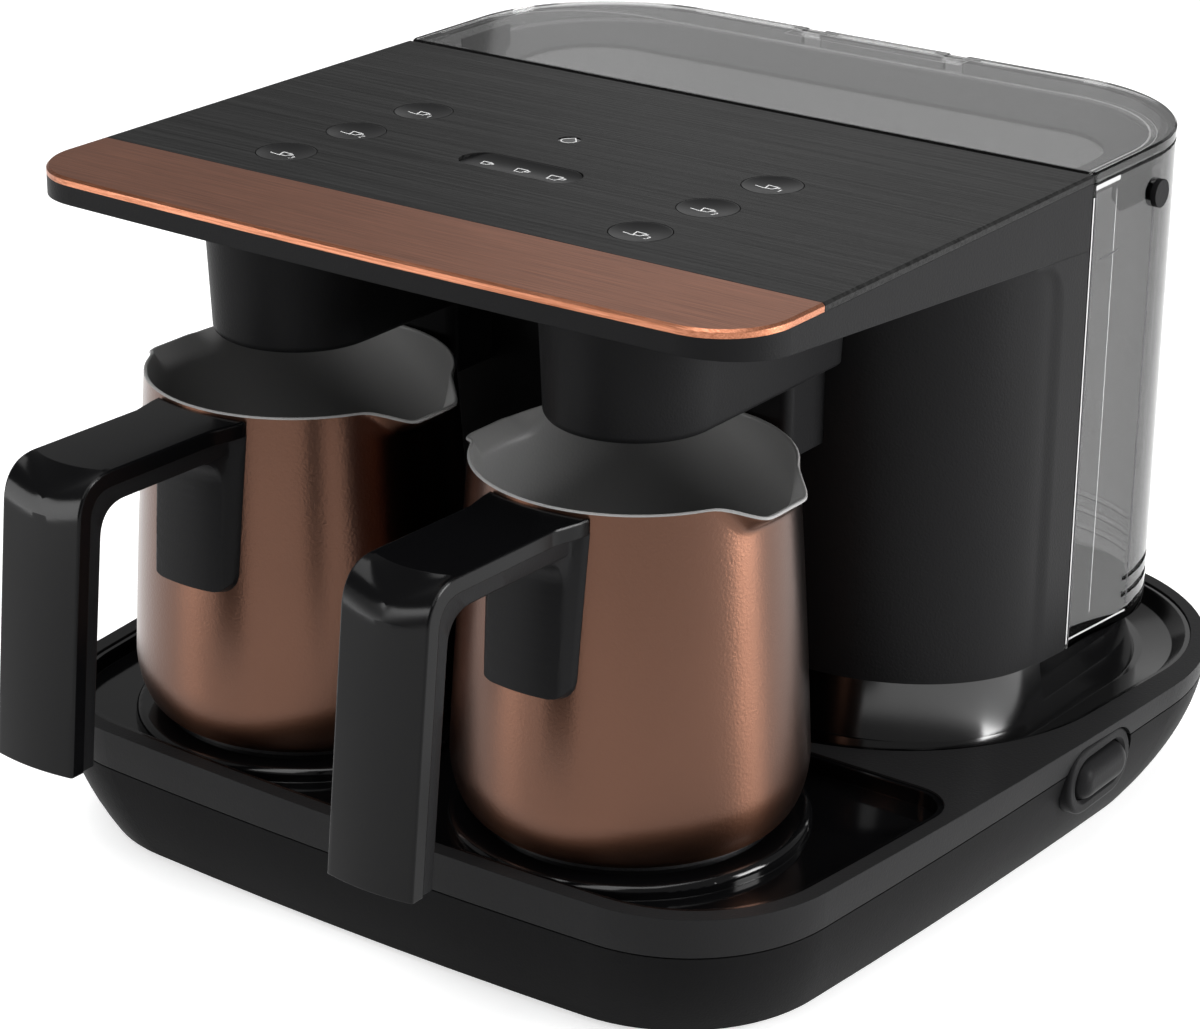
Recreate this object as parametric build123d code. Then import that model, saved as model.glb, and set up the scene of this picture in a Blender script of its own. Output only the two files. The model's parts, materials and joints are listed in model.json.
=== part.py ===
from build123d import *
import math
import os

os.makedirs("parts", exist_ok=True)

# Millimetres. X to the right, Y to the back, Z up from the table.
# While modelling, Y = 0 is the line through both pot axes; the finished parts are moved
# along Y at the end, so that the row's origin is under the middle of the whole machine.

# Heights
foot_height = 2.0
deck_top = 41.0  # the pots stand at this height, and the rim of the base reaches it
head_rise = 55.4  # top of the lid panel, above the pots' rims

# Base
base_front_half = 121.5  # half width at the front corners, before they are rounded
base_rear_half = 141.5
base_ledge = 25.0  # the base stands out from the body by this much, on each side at the rear
base_front = -51.5  # Y of the front corners
base_rear = 219.5
base_front_bow = 4.5  # how far the middle of the front edge stands out
base_rear_bow = 2.5
base_side_bulge = 3.6
base_front_radius = 45.0
base_rear_radius = 68.0
undercut_front = 9.0  # how far the wall draws in from rim to bottom
undercut_side_front = 9.0
undercut_side_rear = 16.0
undercut_rear = 12.0
base_wall = 2.8
deck_thickness = 2.8
seam_drop_front = 11.5  # the rim ring's lower edge, below the rim, at the front
seam_drop_rear = 4.5
seam_gap = 0.4
foot_radius = 9.0
foot_inset_x = 96.0
foot_front_y = -18.0
foot_rear_y = 168.0
boss_radius = 4.5  # screw bosses inside the base, over the feet
boss_height = 20.0
foot_screw_length = 16.0
foot_screw_fit = 0.2
foot_screw_sink = 1.2  # the screw's head starts this far above the wall's outer face

# Glossy front deck
recess_inset = 4.5  # width of the matte rim round the recess
recess_rear = 51.5
recess_corner = 12.0
recess_depth = 5.0
insert_wall = 1.6
insert_thickness = 3.0
insert_drop = 0.5  # the insert's edge lies this far below the rim
insert_fit = 0.1
platform_radius = 48.5
platform_drop = 1.2
platform_round = 2.2

# Heaters
heater_radius = 39.5
heater_thickness = 4.0
heater_lip = 3.0  # ledge of the deck that carries the heater plate
heater_fit = 0.15
spring_turns = 4
cup_gap = 0.5  # between the top of the sensor's cup and the heater plate
coil_outer = 34.0
coil_inner = 14.0
coil_thickness = 4.0
carrier_thickness = 2.4
carrier_radius = 35.5
sensor_radius = 4.0
sensor_fit = 0.06
sensor_length = 14.0
sensor_spring_length = 8.0
sensor_spring_wire = 0.6
spring_clearance = 0.4
cup_wall = 1.6

# Glossy rear plinth
dish_rim = 5.0  # width of the matte rim beside the dish, at its rear corners
dish_taper = 13.0  # the dish is this much narrower at its front than at its rear, on each side
dish_front = 54.0
dish_rear = 215.5
dish_front_radius = 70.5
dish_rear_radius = 55.0
dish_depth = 6.5
dish_slope_side = 13.0  # the dish's wall slopes in by this much, down to the floor
dish_slope_front = 2.0
dish_slope_rear = 9.0
dish_bend_share = 0.3  # share of the slope that the steep upper part of the wall takes
dish_bend_drop = 0.6  # and its share of the depth
plinth_inset = 2.5  # the plinth stands in from the column and the tank by this much
plinth_wall = 2.4
plinth_rear_inset = 8.0
plinth_flare = 4.0  # the plinth's foot stands out this much further than its top
plinth_flare_bend = 1.2  # and this much at the bend
plinth_bend = 0.5  # height of the bend above the deck
plinth_straight = 7.0  # from this height up, the plinth's wall is upright
plinth_collar = 2.5  # the plinth's wall reaches this far up inside the column
seat_overlap = 3.0  # the tank's seat starts this far in front of the tank

# Column and head
column_inset = 0.8  # the column stands in from the rear frame by this much
column_front = 61.0
column_rear = 112.0
column_radius = 45.0
column_wall = 2.5
column_lift = 19.3  # lower edge of the column above the deck, at its front
hatch_side = 30.0  # opening between column and head: distance from the column's sides
hatch_front = 12.0
hatch_rear = 4.0
hatch_corner = 6.0
wedge_slope = 0.0823  # the lower edges of head and column fall by this much per mm of depth
tank_gap = 0.3
frame_rear = 124.5
frame_wall = 2.2
gusset_radius = 14.0  # hollow corner between the head's underside and the rear frame
head_front = -42.4  # Y of the head's front corners
head_front_bow = 2.4
head_corner = 20.0
head_wall = 2.5
skirt_height = 5.3  # visible side of the head under the panel, at the front
panel_thickness = 2.2
panel_bevel = 0.7
strip_rear = -8.6
strip_gap = 0.2
board_drop = 5.2  # the key board lies this far below the panel
board_middle_x = -6.0
board_middle_y = 38.0
board_length = 160.0
board_width = 84.0
board_corner = 4.0
post_radius = 3.0
post_front_y = 2.0
post_rear_y = 66.0
post_places_x = (-78.0, -20.0, 20.0, 66.0)

# Keys
key_radius = 8.2
key_gap = 0.25
key_travel = 0.8
key_dish = 0.9
key_flange = 1.4
key_flange_thickness = 1.0
key_clearance = 0.2
key_stem_radius = 2.5
key_column_right = 51.5
key_column_left = -65.6
key_row = 37.5
key_pitch = 27.0
key_lean = 2.1  # each key further back also sits this much further right
bar_key_x = -8.6
bar_key_y = 37.1
bar_key_length = 38.0
bar_key_width = 12.6
lens_x = -14.0
lens_y = 66.3
lens_radius = 3.2
lens_fit = 0.05
lens_sink = 0.2
board_thickness = 1.6

# Brew heads
pot_spacing = 111.0
brew_half = 23.2
brew_taper = 2.6
brew_clearance = 11.2  # between pot rim and brew head
brew_wall = 2.2
brew_round = 2.0
nozzle_radius = 3.0
nozzle_bore = 1.5
nozzle_drop = 2.0
nozzle_top = 5.0
nozzle_y = 6.0
nozzle_flange = 2.0
eye_y = -9.0
eye_flange = 1.5
eye_thickness = 4.0
eye_radius = 5.0
sensor_block_half = 18.5
sensor_block_front = 43.6
sensor_block_height = 22.4
sensor_block_wall = 2.0
sensor_block_corner = 3.0
arm_hose_rise = 17.0  # the hoses cross into the arms this far above the brew heads' undersides

# Pots
pot_rim_radius = 42.3
pot_belly_radius = 47.5
pot_belly_height = 24.0
pot_foot_radius = 36.5
pot_height = 97.2
pot_rim_lean = 0.075  # inward slope of the wall at the rim
pot_wall = 1.2
pot_floor = 2.4
spout_reach = 5.0
spout_root = 4.0  # the lip's middle lies this far inside the rim
spout_half = 16.5
spout_depth = 9.5
spout_dip = 3.8  # the pouring edge dips this far below the rim
spout_dip_half = 11.0

# Pot handles
handle_drop = 0.7  # the handle's top lies this far below the rim
handle_half = 13.2
handle_flat_half = 6.2  # half width of the flat facet along the middle
handle_facet = 2.2  # drop of the side facets
handle_depth = 11.0
handle_corner_y = -105.4
handle_lean = 3.8
handle_bend = 15.0
handle_foot_z = 18.5
liner_depth = 5.6
liner_half = 11.0
shield_half = 15.6
shield_half_low = 14.2
shield_thickness = 3.0
shield_rear_y = -31.0  # the shield ends here, beside the pot
shield_bottom = 48.0
shield_chamfer = 6.0
handle_root_y = -41.0
handle_edge = 1.2  # chamfer along the long edges
screw_radius = 2.0
screw_head_radius = 3.6
screw_head_height = 2.2

# Water tank
tank_rear = 210.0
tank_radius = 50.0
tank_wall = 2.6
tank_edge = 2.0
tank_edge_least = 0.4  # radius of the inner edges at the front of the tank
lid_thickness = 3.6
lid_gap = 0.4
lid_rise = 0.3  # the lid's top above the panel
lid_lip = 3.0
lid_lip_wall = 1.6
lid_lip_fit = 0.35
lid_bevel = 0.6
hinge_x = 25.0
hinge_ear_half = 3.0
hinge_pin_radius = 0.9
hinge_pin_half = 7.6
hinge_inset = 1.4  # the hinge line lies this far in front of the lid's rear edge
hinge_depth = 1.6  # and this far below the lid's top
hinge_fit = 0.08
hinge_side_gap = 0.3
notch_depth = 5.0
ear_root = 3.0  # the hinge ears reach this far down the tank's rear wall
rib_count = 3
rib_pitch = 5.2
rib_height = 2.0
rib_depth = 0.7
rib_start_y = 157.0
rib_lift = 2.0  # the lowest rib above the tank's lower edge
grip_front = 143.0
grip_rear = 167.0
grip_height = 11.2
grip_gap = 1.7  # between the grip plate and the tank's upper edge
grip_fit = 0.4  # between the grip plate and the lid's lip
grip_thickness = 3.0
grip_corner = 5.0
knob_radius = 4.0
knob_proud = 1.6
knob_y = 162.0
knob_drop = 10.3  # below the tank's upper edge
stub_radius = 2.4
stub_sink = 0.5

# Tank valve
valve_x = -62.0
valve_y = 160.0
valve_bore = 5.0
valve_fit = 0.3
valve_stem = 1.8
valve_disc = 7.5
valve_disc_thickness = 2.0
valve_open = 1.0  # the disc stands this far off its seal while the tank is in place
valve_tail_lift = 0.8  # the stem ends this far inside the bore
valve_stem_top = 2.0
valve_spring_wire = 0.6
valve_spring_inset = 2.5
seal_width = 2.4
seal_height = 3.4
seal_sink = 1.2  # how far the seal lies in the tank's floor
seal_overhang = 0.8
push_bar_height = 2.0
push_gap = 0.1  # between the push pin and the valve's stem
socket_inner = 6.5
socket_wall = 1.6
socket_depth = 9.0
socket_fit = 0.1
socket_ledge = 2.0  # width of the ledge under the seat that carries the socket
spigot_length = 10.0
filter_radius = 13.0
filter_wall = 1.2
filter_height = 20.0
filter_slots = 10
filter_slot_width = 2.2
filter_slot_margin = 2.0
filter_slot_depth = 4.8

# Power switch, on the right side wall
switch_y = 111.0
switch_drop = 12.2
bezel_length = 35.0
bezel_width = 20.0
bezel_wall = 4.0
bezel_depth = 7.2
bezel_round = 1.2
bezel_bevel = 1.0
bezel_fit = 0.05
button_gap = 0.35
button_proud = 2.6
button_round = 4.2
button_length = 5.5
button_room = 1.0  # free space behind the pressed button
button_stem_radius = 3.0
button_stem_reach = 14.0
button_stem_drop = 2.0
button_travel = 1.6
switch_gap = 0.2
switch_body_size = 17.0
switch_rise = 4.0  # top of the switch body above the button's stem

# Rear cord inlet
inlet_x = 62.0
inlet_radius = 7.5
inlet_bore = 3.6
inlet_flange = 2.0
inlet_length = 14.0
inlet_height = 20.0
inlet_collar = 2.5
inlet_collar_depth = 1.5

# Boards, as (x, y, length, width, height) of each block on them
power_board_x = 20.0
power_board_y = 140.0
power_board_length = 110.0
power_board_width = 76.0
power_board_lift = 5.0
power_post_inset = 5.0
power_blocks = ((0, 140, 28, 24, 16), (40, 155, 18, 14, 12), (62, 165, 16, 10, 10))
can_radius = 5.0
can_height = 14.0
can_y = 122.0
can_places_x = (24.0, 38.0, 52.0)
control_board_x = 62.0
control_board_rise = 60.0
control_board_length = 70.0
control_board_height = 56.0
control_post_inset = 5.0
control_post_radius = 2.6
control_post_length = 4.0
control_chips = ((-18, 10, 14), (8, 12, 10), (14, -12, 16), (-16, -14, 9))
chip_thickness = 4.0
chip_share = 0.8  # height of a chip, as a share of its length

# Pump, flow meter and hoses inside the column
pump_radius = 16.0
pump_length = 60.0
pump_bore = 6.0
pump_fit = 0.05
pump_piston_length = 28.0
pump_end_wall = 4.0
pump_port_bore = 2.0
pump_piston_bore = 1.0
tee_half = 6.0
pump_x = 0.0
pump_y = 96.0
pump_z = 118.0
pump_port_radius = 4.0
pump_port_length = 10.0
bracket_length = 30.0
bracket_height = 10.0
meter_radius = 13.0
meter_height = 14.0
meter_wall = 2.0
meter_x = -62.0
meter_y = 96.0
meter_z = 78.0
meter_stub = 8.0
meter_pin_sink = 1.0
meter_arm_width = 8.0
meter_arm_height = 6.0
meter_bore = 2.0
meter_bar = 1.0  # a bar across the bore at each end carries the turbine's pin
turbine_gap = 0.8
turbine_hub = 3.0
turbine_blade = 1.2
turbine_fit = 0.06
turbine_blades = 6
turbine_pin_radius = 1.2
hose_radius = 3.2
hose_bend = 9.0
hose_hole_gap = 0.6
hose_floor_gap = 8.0
hose_wall_gap = 3.5

# Worked-out sizes
body_half = base_rear_half - base_ledge  # half width of head, rear frame and tank
column_half = body_half - column_inset
head_top = deck_top + pot_height + head_rise
dish_rear_half = base_rear_half - dish_rim
dish_front_half = dish_rear_half - dish_taper
pot_x = pot_spacing / 2
panel_bottom = head_top - panel_thickness
skirt_front_z = panel_bottom - skirt_height
brew_low = deck_top + pot_height + brew_clearance
arm_hose_z = brew_low + arm_hose_rise
sketch_margin = 60.0  # cutting blocks reach this far past what they cut
cut = 1.0  # and this far where other pieces are near
loft_steps = 3


def outline(front_half, rear_half, front, rear, front_bow, rear_bow, bulge, r_front, r_rear):
    """A closed plan outline, symmetric about X = 0, with bowed edges and round corners."""
    middle = (front + rear) / 2
    side = (front_half + rear_half) / 2 + bulge
    edges = [
        ThreePointArc((-front_half, front), (0, front - front_bow), (front_half, front)),
        ThreePointArc((front_half, front), (side, middle), (rear_half, rear)),
        ThreePointArc((rear_half, rear), (0, rear + rear_bow), (-rear_half, rear)),
        ThreePointArc((-rear_half, rear), (-side, middle), (-front_half, front)),
    ]
    face = make_face(edges)
    face = fillet(face.vertices().sort_by(Axis.Y)[:2], r_front)
    rear_corners = [v for v in face.vertices() if v.Y > middle and abs(v.X) > rear_half - 1]
    return fillet(rear_corners, r_rear)


def d_plan(half, front, rear, r_front, r_rear):
    """A rectangle in plan, with one radius for its front corners and one for its rear ones."""
    face = Pos(0, (front + rear) / 2) * Rectangle(2 * half, rear - front)
    if r_front > 0:
        face = fillet(face.vertices().sort_by(Axis.Y)[:2], r_front)
    if r_rear > 0:
        rear_corners = [v for v in face.vertices() if v.Y > rear - 0.01]
        face = fillet(rear_corners, r_rear)
    return face


def slab(face, low, high):
    """A plan outline extruded between two heights."""
    return Pos(0, 0, low) * extrude(face, high - low)


def head_under(y):
    """Height of the head's slanted underside."""
    return skirt_front_z - wedge_slope * (y - head_front)


def column_under(y):
    """Height of the lower edge that the column and the tank share."""
    return deck_top + column_lift - wedge_slope * (y - column_front)


def slant_block(low, high, front, rear, half=base_rear_half + sketch_margin):
    """A block between two heights, each a number or a height that changes with Y."""
    low_at = low if callable(low) else (lambda y: low)
    high_at = high if callable(high) else (lambda y: high)
    corners = [(front, low_at(front)), (rear, low_at(rear)), (rear, high_at(rear)), (front, high_at(front))]
    return extrude(Plane.YZ * make_face(Polyline(*corners, close=True)), half, both=True)


def cylinder(radius, low, high, x=0.0, y=0.0):
    return Pos(x, y, (low + high) / 2) * Cylinder(radius, high - low)


def tube(outer, inner, low, high, x=0.0, y=0.0):
    return cylinder(outer, low, high, x, y) - cylinder(inner, low - cut, high + cut, x, y)


def cylinder_x(radius, low, high, y, z):
    return Pos((low + high) / 2, y, z) * Rot(0, 90, 0) * Cylinder(radius, high - low)


def cylinder_y(radius, low, high, x, z):
    return Pos(x, (low + high) / 2, z) * Rot(90, 0, 0) * Cylinder(radius, high - low)


def coil_spring(radius, wire, low, high, turns, x, y):
    """A helical spring whose wire ends lie flat on both seats."""
    rise = high - low - 2 * wire
    path = Pos(x, y, low + wire) * Helix(rise / turns, rise, radius)
    start = Plane(origin=path @ 0, z_dir=path % 0)
    wound = sweep(start * Circle(wire), path)
    return wound


def pipe(points, radius, bend):
    """A hose along straight runs joined by arcs."""
    path = FilletPolyline(*points, radius=bend)
    return sweep(Plane(origin=path @ 0, z_dir=path % 0) * Circle(radius), path)


parts = {}


# ---- Base -------------------------------------------------------------------------------


def undercut_share(z):
    """0 at the rim and 1 at the bottom: the wall curves in more and more towards the bottom."""
    return ((deck_top - z) / (deck_top - foot_height)) ** 2


def base_section(z, inset):
    share = undercut_share(z)
    return Pos(0, 0, z) * outline(
        base_front_half - undercut_side_front * share - inset,
        base_rear_half - undercut_side_rear * share - inset,
        base_front + undercut_front * share + inset,
        base_rear - undercut_rear * share - inset,
        base_front_bow,
        base_rear_bow,
        base_side_bulge,
        base_front_radius - inset,
        base_rear_radius - inset,
    )


def base_solid(low, high, inset):
    heights = [low + (high - low) * i / loft_steps for i in range(loft_steps + 1)]
    return loft([base_section(z, inset) for z in heights])


def seam_height(y):
    share = (y - base_front) / (base_rear - base_front)
    return deck_top - seam_drop_front + (seam_drop_front - seam_drop_rear) * share


base_outer = base_solid(foot_height, deck_top, 0)
base_inner = base_solid(foot_height + base_wall, deck_top - deck_thickness, base_wall)
base_shell = base_outer - base_inner

before = base_front - sketch_margin
behind = base_rear + sketch_margin
above_seam = slant_block(seam_height, deck_top + sketch_margin, before, behind)
below_seam = slant_block(-sketch_margin, lambda y: seam_height(y) - seam_gap, before, behind)


def recess_outline(extra):
    """The front recess: the base's own outline, drawn in, and cut straight at its rear."""
    whole = outline(
        base_front_half - recess_inset - extra,
        base_rear_half - recess_inset - extra,
        base_front + recess_inset + extra,
        base_rear - recess_inset - extra,
        base_front_bow,
        base_rear_bow,
        base_side_bulge,
        base_front_radius - recess_inset - extra,
        base_rear_radius - recess_inset - extra,
    )
    rear = recess_rear - extra
    length = rear - base_front + sketch_margin
    front_part = whole & Pos(0, rear - length / 2) * Rectangle(2 * base_rear_half, length)
    rear_corners = [v for v in front_part.vertices() if v.Y > rear - 0.01]
    return fillet(rear_corners, recess_corner - extra)


def dish_plan(inset, slope_share=0.0):
    """The rear dish in plan, wider at its rear; its wall slopes in by the given share."""
    side = inset + dish_slope_side * slope_share
    front_inset = inset + dish_slope_front * slope_share
    rear_inset = inset + dish_slope_rear * slope_share
    front = dish_front + front_inset
    rear = dish_rear - rear_inset
    corners = [
        (side - dish_front_half, front),
        (dish_front_half - side, front),
        (dish_rear_half - side, rear),
        (side - dish_rear_half, rear),
    ]
    face = make_face(Polyline(*corners, close=True))
    face = fillet(face.vertices().sort_by(Axis.Y)[:2], dish_front_radius - front_inset)
    rear_corners = [v for v in face.vertices() if v.Y > rear - 0.01]
    return fillet(rear_corners, dish_rear_radius - rear_inset)


# Power switch: an upright obround in the side wall, seen along X
switch_z = deck_top - switch_drop


def side_obround(length, width, low, high):
    face = Plane.YZ * (Pos(switch_y, switch_z) * SlotOverall(length, width))
    return Pos(low, 0, 0) * extrude(face, high - low)


def wall_at(z, y):
    """X of the base's right wall at a height and a depth."""
    strip = Pos(0, y, z) * Rectangle(2 * (base_rear_half + sketch_margin), seam_gap)
    return (base_section(z, 0) & strip).bounding_box().max.X


wall_x = wall_at(deck_top, switch_y)
bezel_back = wall_x - bezel_depth
button_back = wall_x - button_length
beyond = wall_x + sketch_margin
bezel_seat = side_obround(bezel_length, bezel_width, bezel_back, beyond)
bezel_seat += side_obround(
    bezel_length - bezel_wall, bezel_width - bezel_wall, button_back - button_travel - button_room, beyond
)

# Rear inlet: its bore runs along Y, through the rear wall
inlet_face_y = base_section(inlet_height, 0).bounding_box().max.Y
inlet_hole = cylinder_y(
    inlet_radius, inlet_face_y - sketch_margin, inlet_face_y + sketch_margin, inlet_x, inlet_height
)

foot_head_low = foot_height + foot_screw_sink
foot_places = [(sx * foot_inset_x, y) for y in (foot_front_y, foot_rear_y) for sx in (-1, 1)]

base_rim = base_shell & above_seam
base_rim -= slab(recess_outline(0), deck_top - sketch_margin, deck_top + sketch_margin)
base_rim -= slab(dish_plan(0), deck_top - sketch_margin, deck_top + sketch_margin)
base_rim -= bezel_seat
parts["base_rim"] = base_rim

base_pan = base_shell & below_seam
base_pan -= bezel_seat
base_pan -= inlet_hole
for x, y in foot_places:
    base_pan += cylinder(boss_radius, foot_height + base_wall / 2, foot_height + boss_height, x, y)
    base_pan -= cylinder(screw_radius, 0, deck_top, x, y)
    base_pan -= cylinder(screw_head_radius, 0, foot_head_low + screw_head_height, x, y)
parts["base_pan"] = base_pan

feet = Part()
for x, y in foot_places:
    feet += tube(foot_radius, screw_head_radius + foot_screw_fit, 0, foot_height, x, y)
parts["feet"] = feet

base_screws = Part()
for x, y in foot_places:
    base_screws += cylinder(
        screw_head_radius - foot_screw_fit, foot_head_low, foot_head_low + screw_head_height, x, y
    )
    base_screws += cylinder(screw_radius, foot_head_low, foot_head_low + foot_screw_length, x, y)
parts["base_screws"] = base_screws


# ---- Glossy front deck, heaters and pot sensors --------------------------------------------

insert_top = deck_top - insert_drop
recess_floor = deck_top - recess_depth
insert_bottom = recess_floor - insert_thickness
gloss_deck = slab(recess_outline(insert_fit), insert_bottom, insert_top)
gloss_deck -= slab(recess_outline(insert_fit + insert_wall), recess_floor, deck_top + cut)
plate_low = deck_top - heater_thickness
for x in (-pot_x, pot_x):
    platform = cylinder(platform_radius, insert_bottom, deck_top - platform_drop, x)
    platform = fillet(platform.edges().sort_by(Axis.Z)[-1], platform_round)
    gloss_deck += platform
for x in (-pot_x, pot_x):
    gloss_deck -= cylinder(heater_radius + heater_fit, plate_low, deck_top + cut, x)
    gloss_deck -= cylinder(heater_radius - heater_lip, 0, deck_top, x)
gloss_deck = gloss_deck & slab(recess_outline(insert_fit), insert_bottom, insert_top + insert_drop)
parts["gloss_deck"] = gloss_deck

heater_coils = Part()
coil_carriers = Part()
coil_low = plate_low - coil_thickness
carrier_low = coil_low - carrier_thickness
cup_inner = sensor_radius + sensor_fit
sensor_low = deck_top - sensor_length
cup_floor = sensor_low - sensor_spring_length
for side, x in (("left", -pot_x), ("right", pot_x)):
    parts[f"heater_plate_{side}"] = tube(heater_radius, cup_inner, plate_low, deck_top, x)
    heater_coils += tube(coil_outer, coil_inner, coil_low, plate_low, x)
    carrier = tube(carrier_radius, cup_inner, carrier_low, coil_low, x)
    carrier += tube(cup_inner + cup_wall, cup_inner, cup_floor, plate_low - cup_gap, x)
    carrier += cylinder(cup_inner + cup_wall, cup_floor - cup_wall, cup_floor, x)
    coil_carriers += carrier
    parts[f"sensor_plunger_{side}"] = cylinder(sensor_radius, sensor_low, deck_top, x)
    coil_radius = sensor_radius - spring_clearance - sensor_spring_wire
    spring = coil_spring(coil_radius, sensor_spring_wire, cup_floor, sensor_low, spring_turns, x, 0)
    parts[f"sensor_spring_{side}"] = spring
parts["heater_coils"] = heater_coils
parts["coil_carriers"] = coil_carriers


# ---- Glossy rear plinth ----------------------------------------------------------------------

dish_floor = deck_top - dish_depth
dish_bottom = dish_floor - insert_thickness


def plinth_plan(flare):
    """The plinth in plan: inside the column and the tank, and wider by the flare at its foot."""
    inset = plinth_inset - flare
    return d_plan(
        column_half - inset,
        column_front + inset,
        tank_rear - plinth_rear_inset + flare,
        column_radius - inset,
        tank_radius - inset,
    )


dish_bend_z = insert_top - dish_depth * dish_bend_drop
dish_sections = [
    Pos(0, 0, dish_floor) * dish_plan(insert_wall, 1.0),
    Pos(0, 0, dish_bend_z) * dish_plan(insert_wall, dish_bend_share),
    Pos(0, 0, insert_top) * dish_plan(insert_wall),
    Pos(0, 0, insert_top + cut) * dish_plan(insert_wall),
]
plinth_sections = [
    Pos(0, 0, dish_bottom) * plinth_plan(plinth_flare),
    Pos(0, 0, dish_floor) * plinth_plan(plinth_flare),
    Pos(0, 0, deck_top + plinth_bend) * plinth_plan(plinth_flare_bend),
    Pos(0, 0, deck_top + plinth_straight) * plinth_plan(0),
    Pos(0, 0, deck_top + sketch_margin) * plinth_plan(0),
]
plinth_body = loft(plinth_sections, ruled=True)
rear_plinth = slab(dish_plan(insert_fit), dish_bottom, insert_top) - loft(dish_sections, ruled=True)
rear_plinth += plinth_body & slant_block(0, column_under, before, behind)
plinth_hollow = d_plan(
    column_half - plinth_inset - plinth_wall,
    column_front + plinth_inset + plinth_wall,
    tank_rear - plinth_rear_inset - plinth_wall,
    column_radius - plinth_inset - plinth_wall,
    tank_radius - plinth_inset - plinth_wall,
)
seat_thickness = plinth_wall
seat_front = frame_rear - seat_overlap
hollow_block = slab(plinth_hollow, 0, deck_top + sketch_margin)
rear_plinth -= hollow_block & slant_block(0, column_under, before, seat_front)
rear_plinth -= hollow_block & slant_block(0, lambda y: column_under(y) - seat_thickness, before, behind)
collar = plinth_body - hollow_block
rear_plinth += collar & slant_block(
    lambda y: column_under(y) - seat_thickness, lambda y: column_under(y) + plinth_collar, before, column_rear
)
socket_top = column_under(valve_y) - seat_thickness
socket_low = socket_top - socket_depth
socket_base = socket_low - socket_wall
socket_outer = socket_inner + socket_wall
spigot_low = socket_base - spigot_length
tank_floor = column_under(valve_y)
stem_low = tank_floor + valve_tail_lift
rear_plinth -= cylinder(socket_outer + socket_fit, socket_low, deck_top + sketch_margin, valve_x, valve_y)
parts["rear_plinth"] = rear_plinth

# The socket hangs under the seat by its ledge, and its pin holds the tank's valve open
tank_socket = tube(socket_outer, socket_inner, socket_low, socket_top, valve_x, valve_y)
tank_socket += tube(socket_outer, valve_stem, socket_base, socket_low, valve_x, valve_y)
tank_socket += tube(
    socket_outer + socket_ledge, socket_inner, socket_top - socket_wall, socket_top, valve_x, valve_y
)
tank_socket = tank_socket & slant_block(0, lambda y: column_under(y) - seat_thickness, before, behind)
tank_socket += tube(hose_radius, valve_stem, spigot_low, socket_base, valve_x, valve_y)
tank_socket += Pos(valve_x, valve_y, socket_low) * Box(2 * socket_inner, socket_wall, push_bar_height)
tank_socket += cylinder(socket_wall, socket_low, stem_low - push_gap, valve_x, valve_y)
parts["tank_socket"] = tank_socket


# ---- Column and rear frame --------------------------------------------------------------------

column_plan = d_plan(column_half, column_front, column_rear, column_radius, 0)
column_room = d_plan(
    column_half - column_wall, column_front + column_wall, column_rear + cut, column_radius - column_wall, 0
)
column_shell = slab(column_plan, 0, head_top) - slab(column_room, -cut, head_top + cut)
column_shell = column_shell & slant_block(column_under, head_under, before, behind)
for x in (-pot_x, pot_x):
    column_shell -= cylinder_y(hose_radius + hose_hole_gap, 0, column_front + column_radius, x, arm_hose_z)
parts["column_shell"] = column_shell

frame_plan = d_plan(body_half, column_rear, frame_rear - tank_gap, 0, 0)
frame_room = d_plan(body_half - frame_wall, column_rear - cut, frame_rear - tank_gap - frame_wall, 0, 0)
rear_frame = slab(frame_plan, 0, head_top) - slab(frame_room, -cut, head_top + cut)
rear_frame = rear_frame & slant_block(column_under, head_under, before, behind)
gusset_y = column_rear - gusset_radius
gusset_z = head_under(gusset_y) - gusset_radius * math.hypot(1, wedge_slope)
gusset_front = gusset_y + gusset_radius * wedge_slope / math.hypot(1, wedge_slope)
gussets = slant_block(gusset_z, head_under, gusset_front, column_rear + cut, body_half)
gussets -= cylinder_x(gusset_radius, -body_half, body_half, gusset_y, gusset_z)
gussets -= slant_block(0, head_top, before, behind, column_half)
rear_frame += gussets
parts["rear_frame"] = rear_frame


# ---- Head -----------------------------------------------------------------------------------

def head_plan(inset):
    rear = frame_rear - tank_gap - inset
    front = head_front + inset
    half = body_half - inset
    edges = [
        ThreePointArc((-half, front), (0, front - head_front_bow), (half, front)),
        Line((half, front), (half, rear)),
        Line((half, rear), (-half, rear)),
        Line((-half, rear), (-half, front)),
    ]
    face = make_face(edges)
    return fillet(face.vertices().sort_by(Axis.Y)[:2], head_corner - inset)


def key_places():
    """Centres of the six round keys, by name, from the front row to the back."""
    for side, x in (("left", key_column_left), ("right", key_column_right)):
        for row in range(3):
            yield f"{side}_{3 - row}", x + (row - 1) * key_lean, key_row + (row - 1) * key_pitch


board_low = panel_bottom - board_drop
board_high = board_low + board_thickness
head_shell = slab(head_plan(0), 0, panel_bottom) & slant_block(head_under, panel_bottom, before, behind)
head_room = slab(head_plan(head_wall), 0, panel_bottom + cut)
head_shell -= head_room & slant_block(lambda y: head_under(y) + head_wall, panel_bottom + cut, before, behind)
hatch = d_plan(
    column_half - hatch_side, column_front + hatch_front, column_rear - hatch_rear, hatch_corner, hatch_corner
)
head_shell -= slab(hatch, 0, head_top)
board_posts = [(x, y) for x in post_places_x for y in (post_front_y, post_rear_y)]
for x, y in board_posts:
    head_shell += cylinder(post_radius, head_under(y) + head_wall / 2, board_low, x, y)
parts["head_shell"] = head_shell

panel_plan = head_plan(0)
whole_panel = slab(panel_plan, panel_bottom, head_top)
whole_panel = chamfer(whole_panel.faces().sort_by(Axis.Z)[-1].edges(), panel_bevel)
top_panel = whole_panel & slant_block(0, head_top + cut, strip_rear + strip_gap, behind)
parts["copper_strip"] = whole_panel & slant_block(0, head_top + cut, before, strip_rear)


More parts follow.
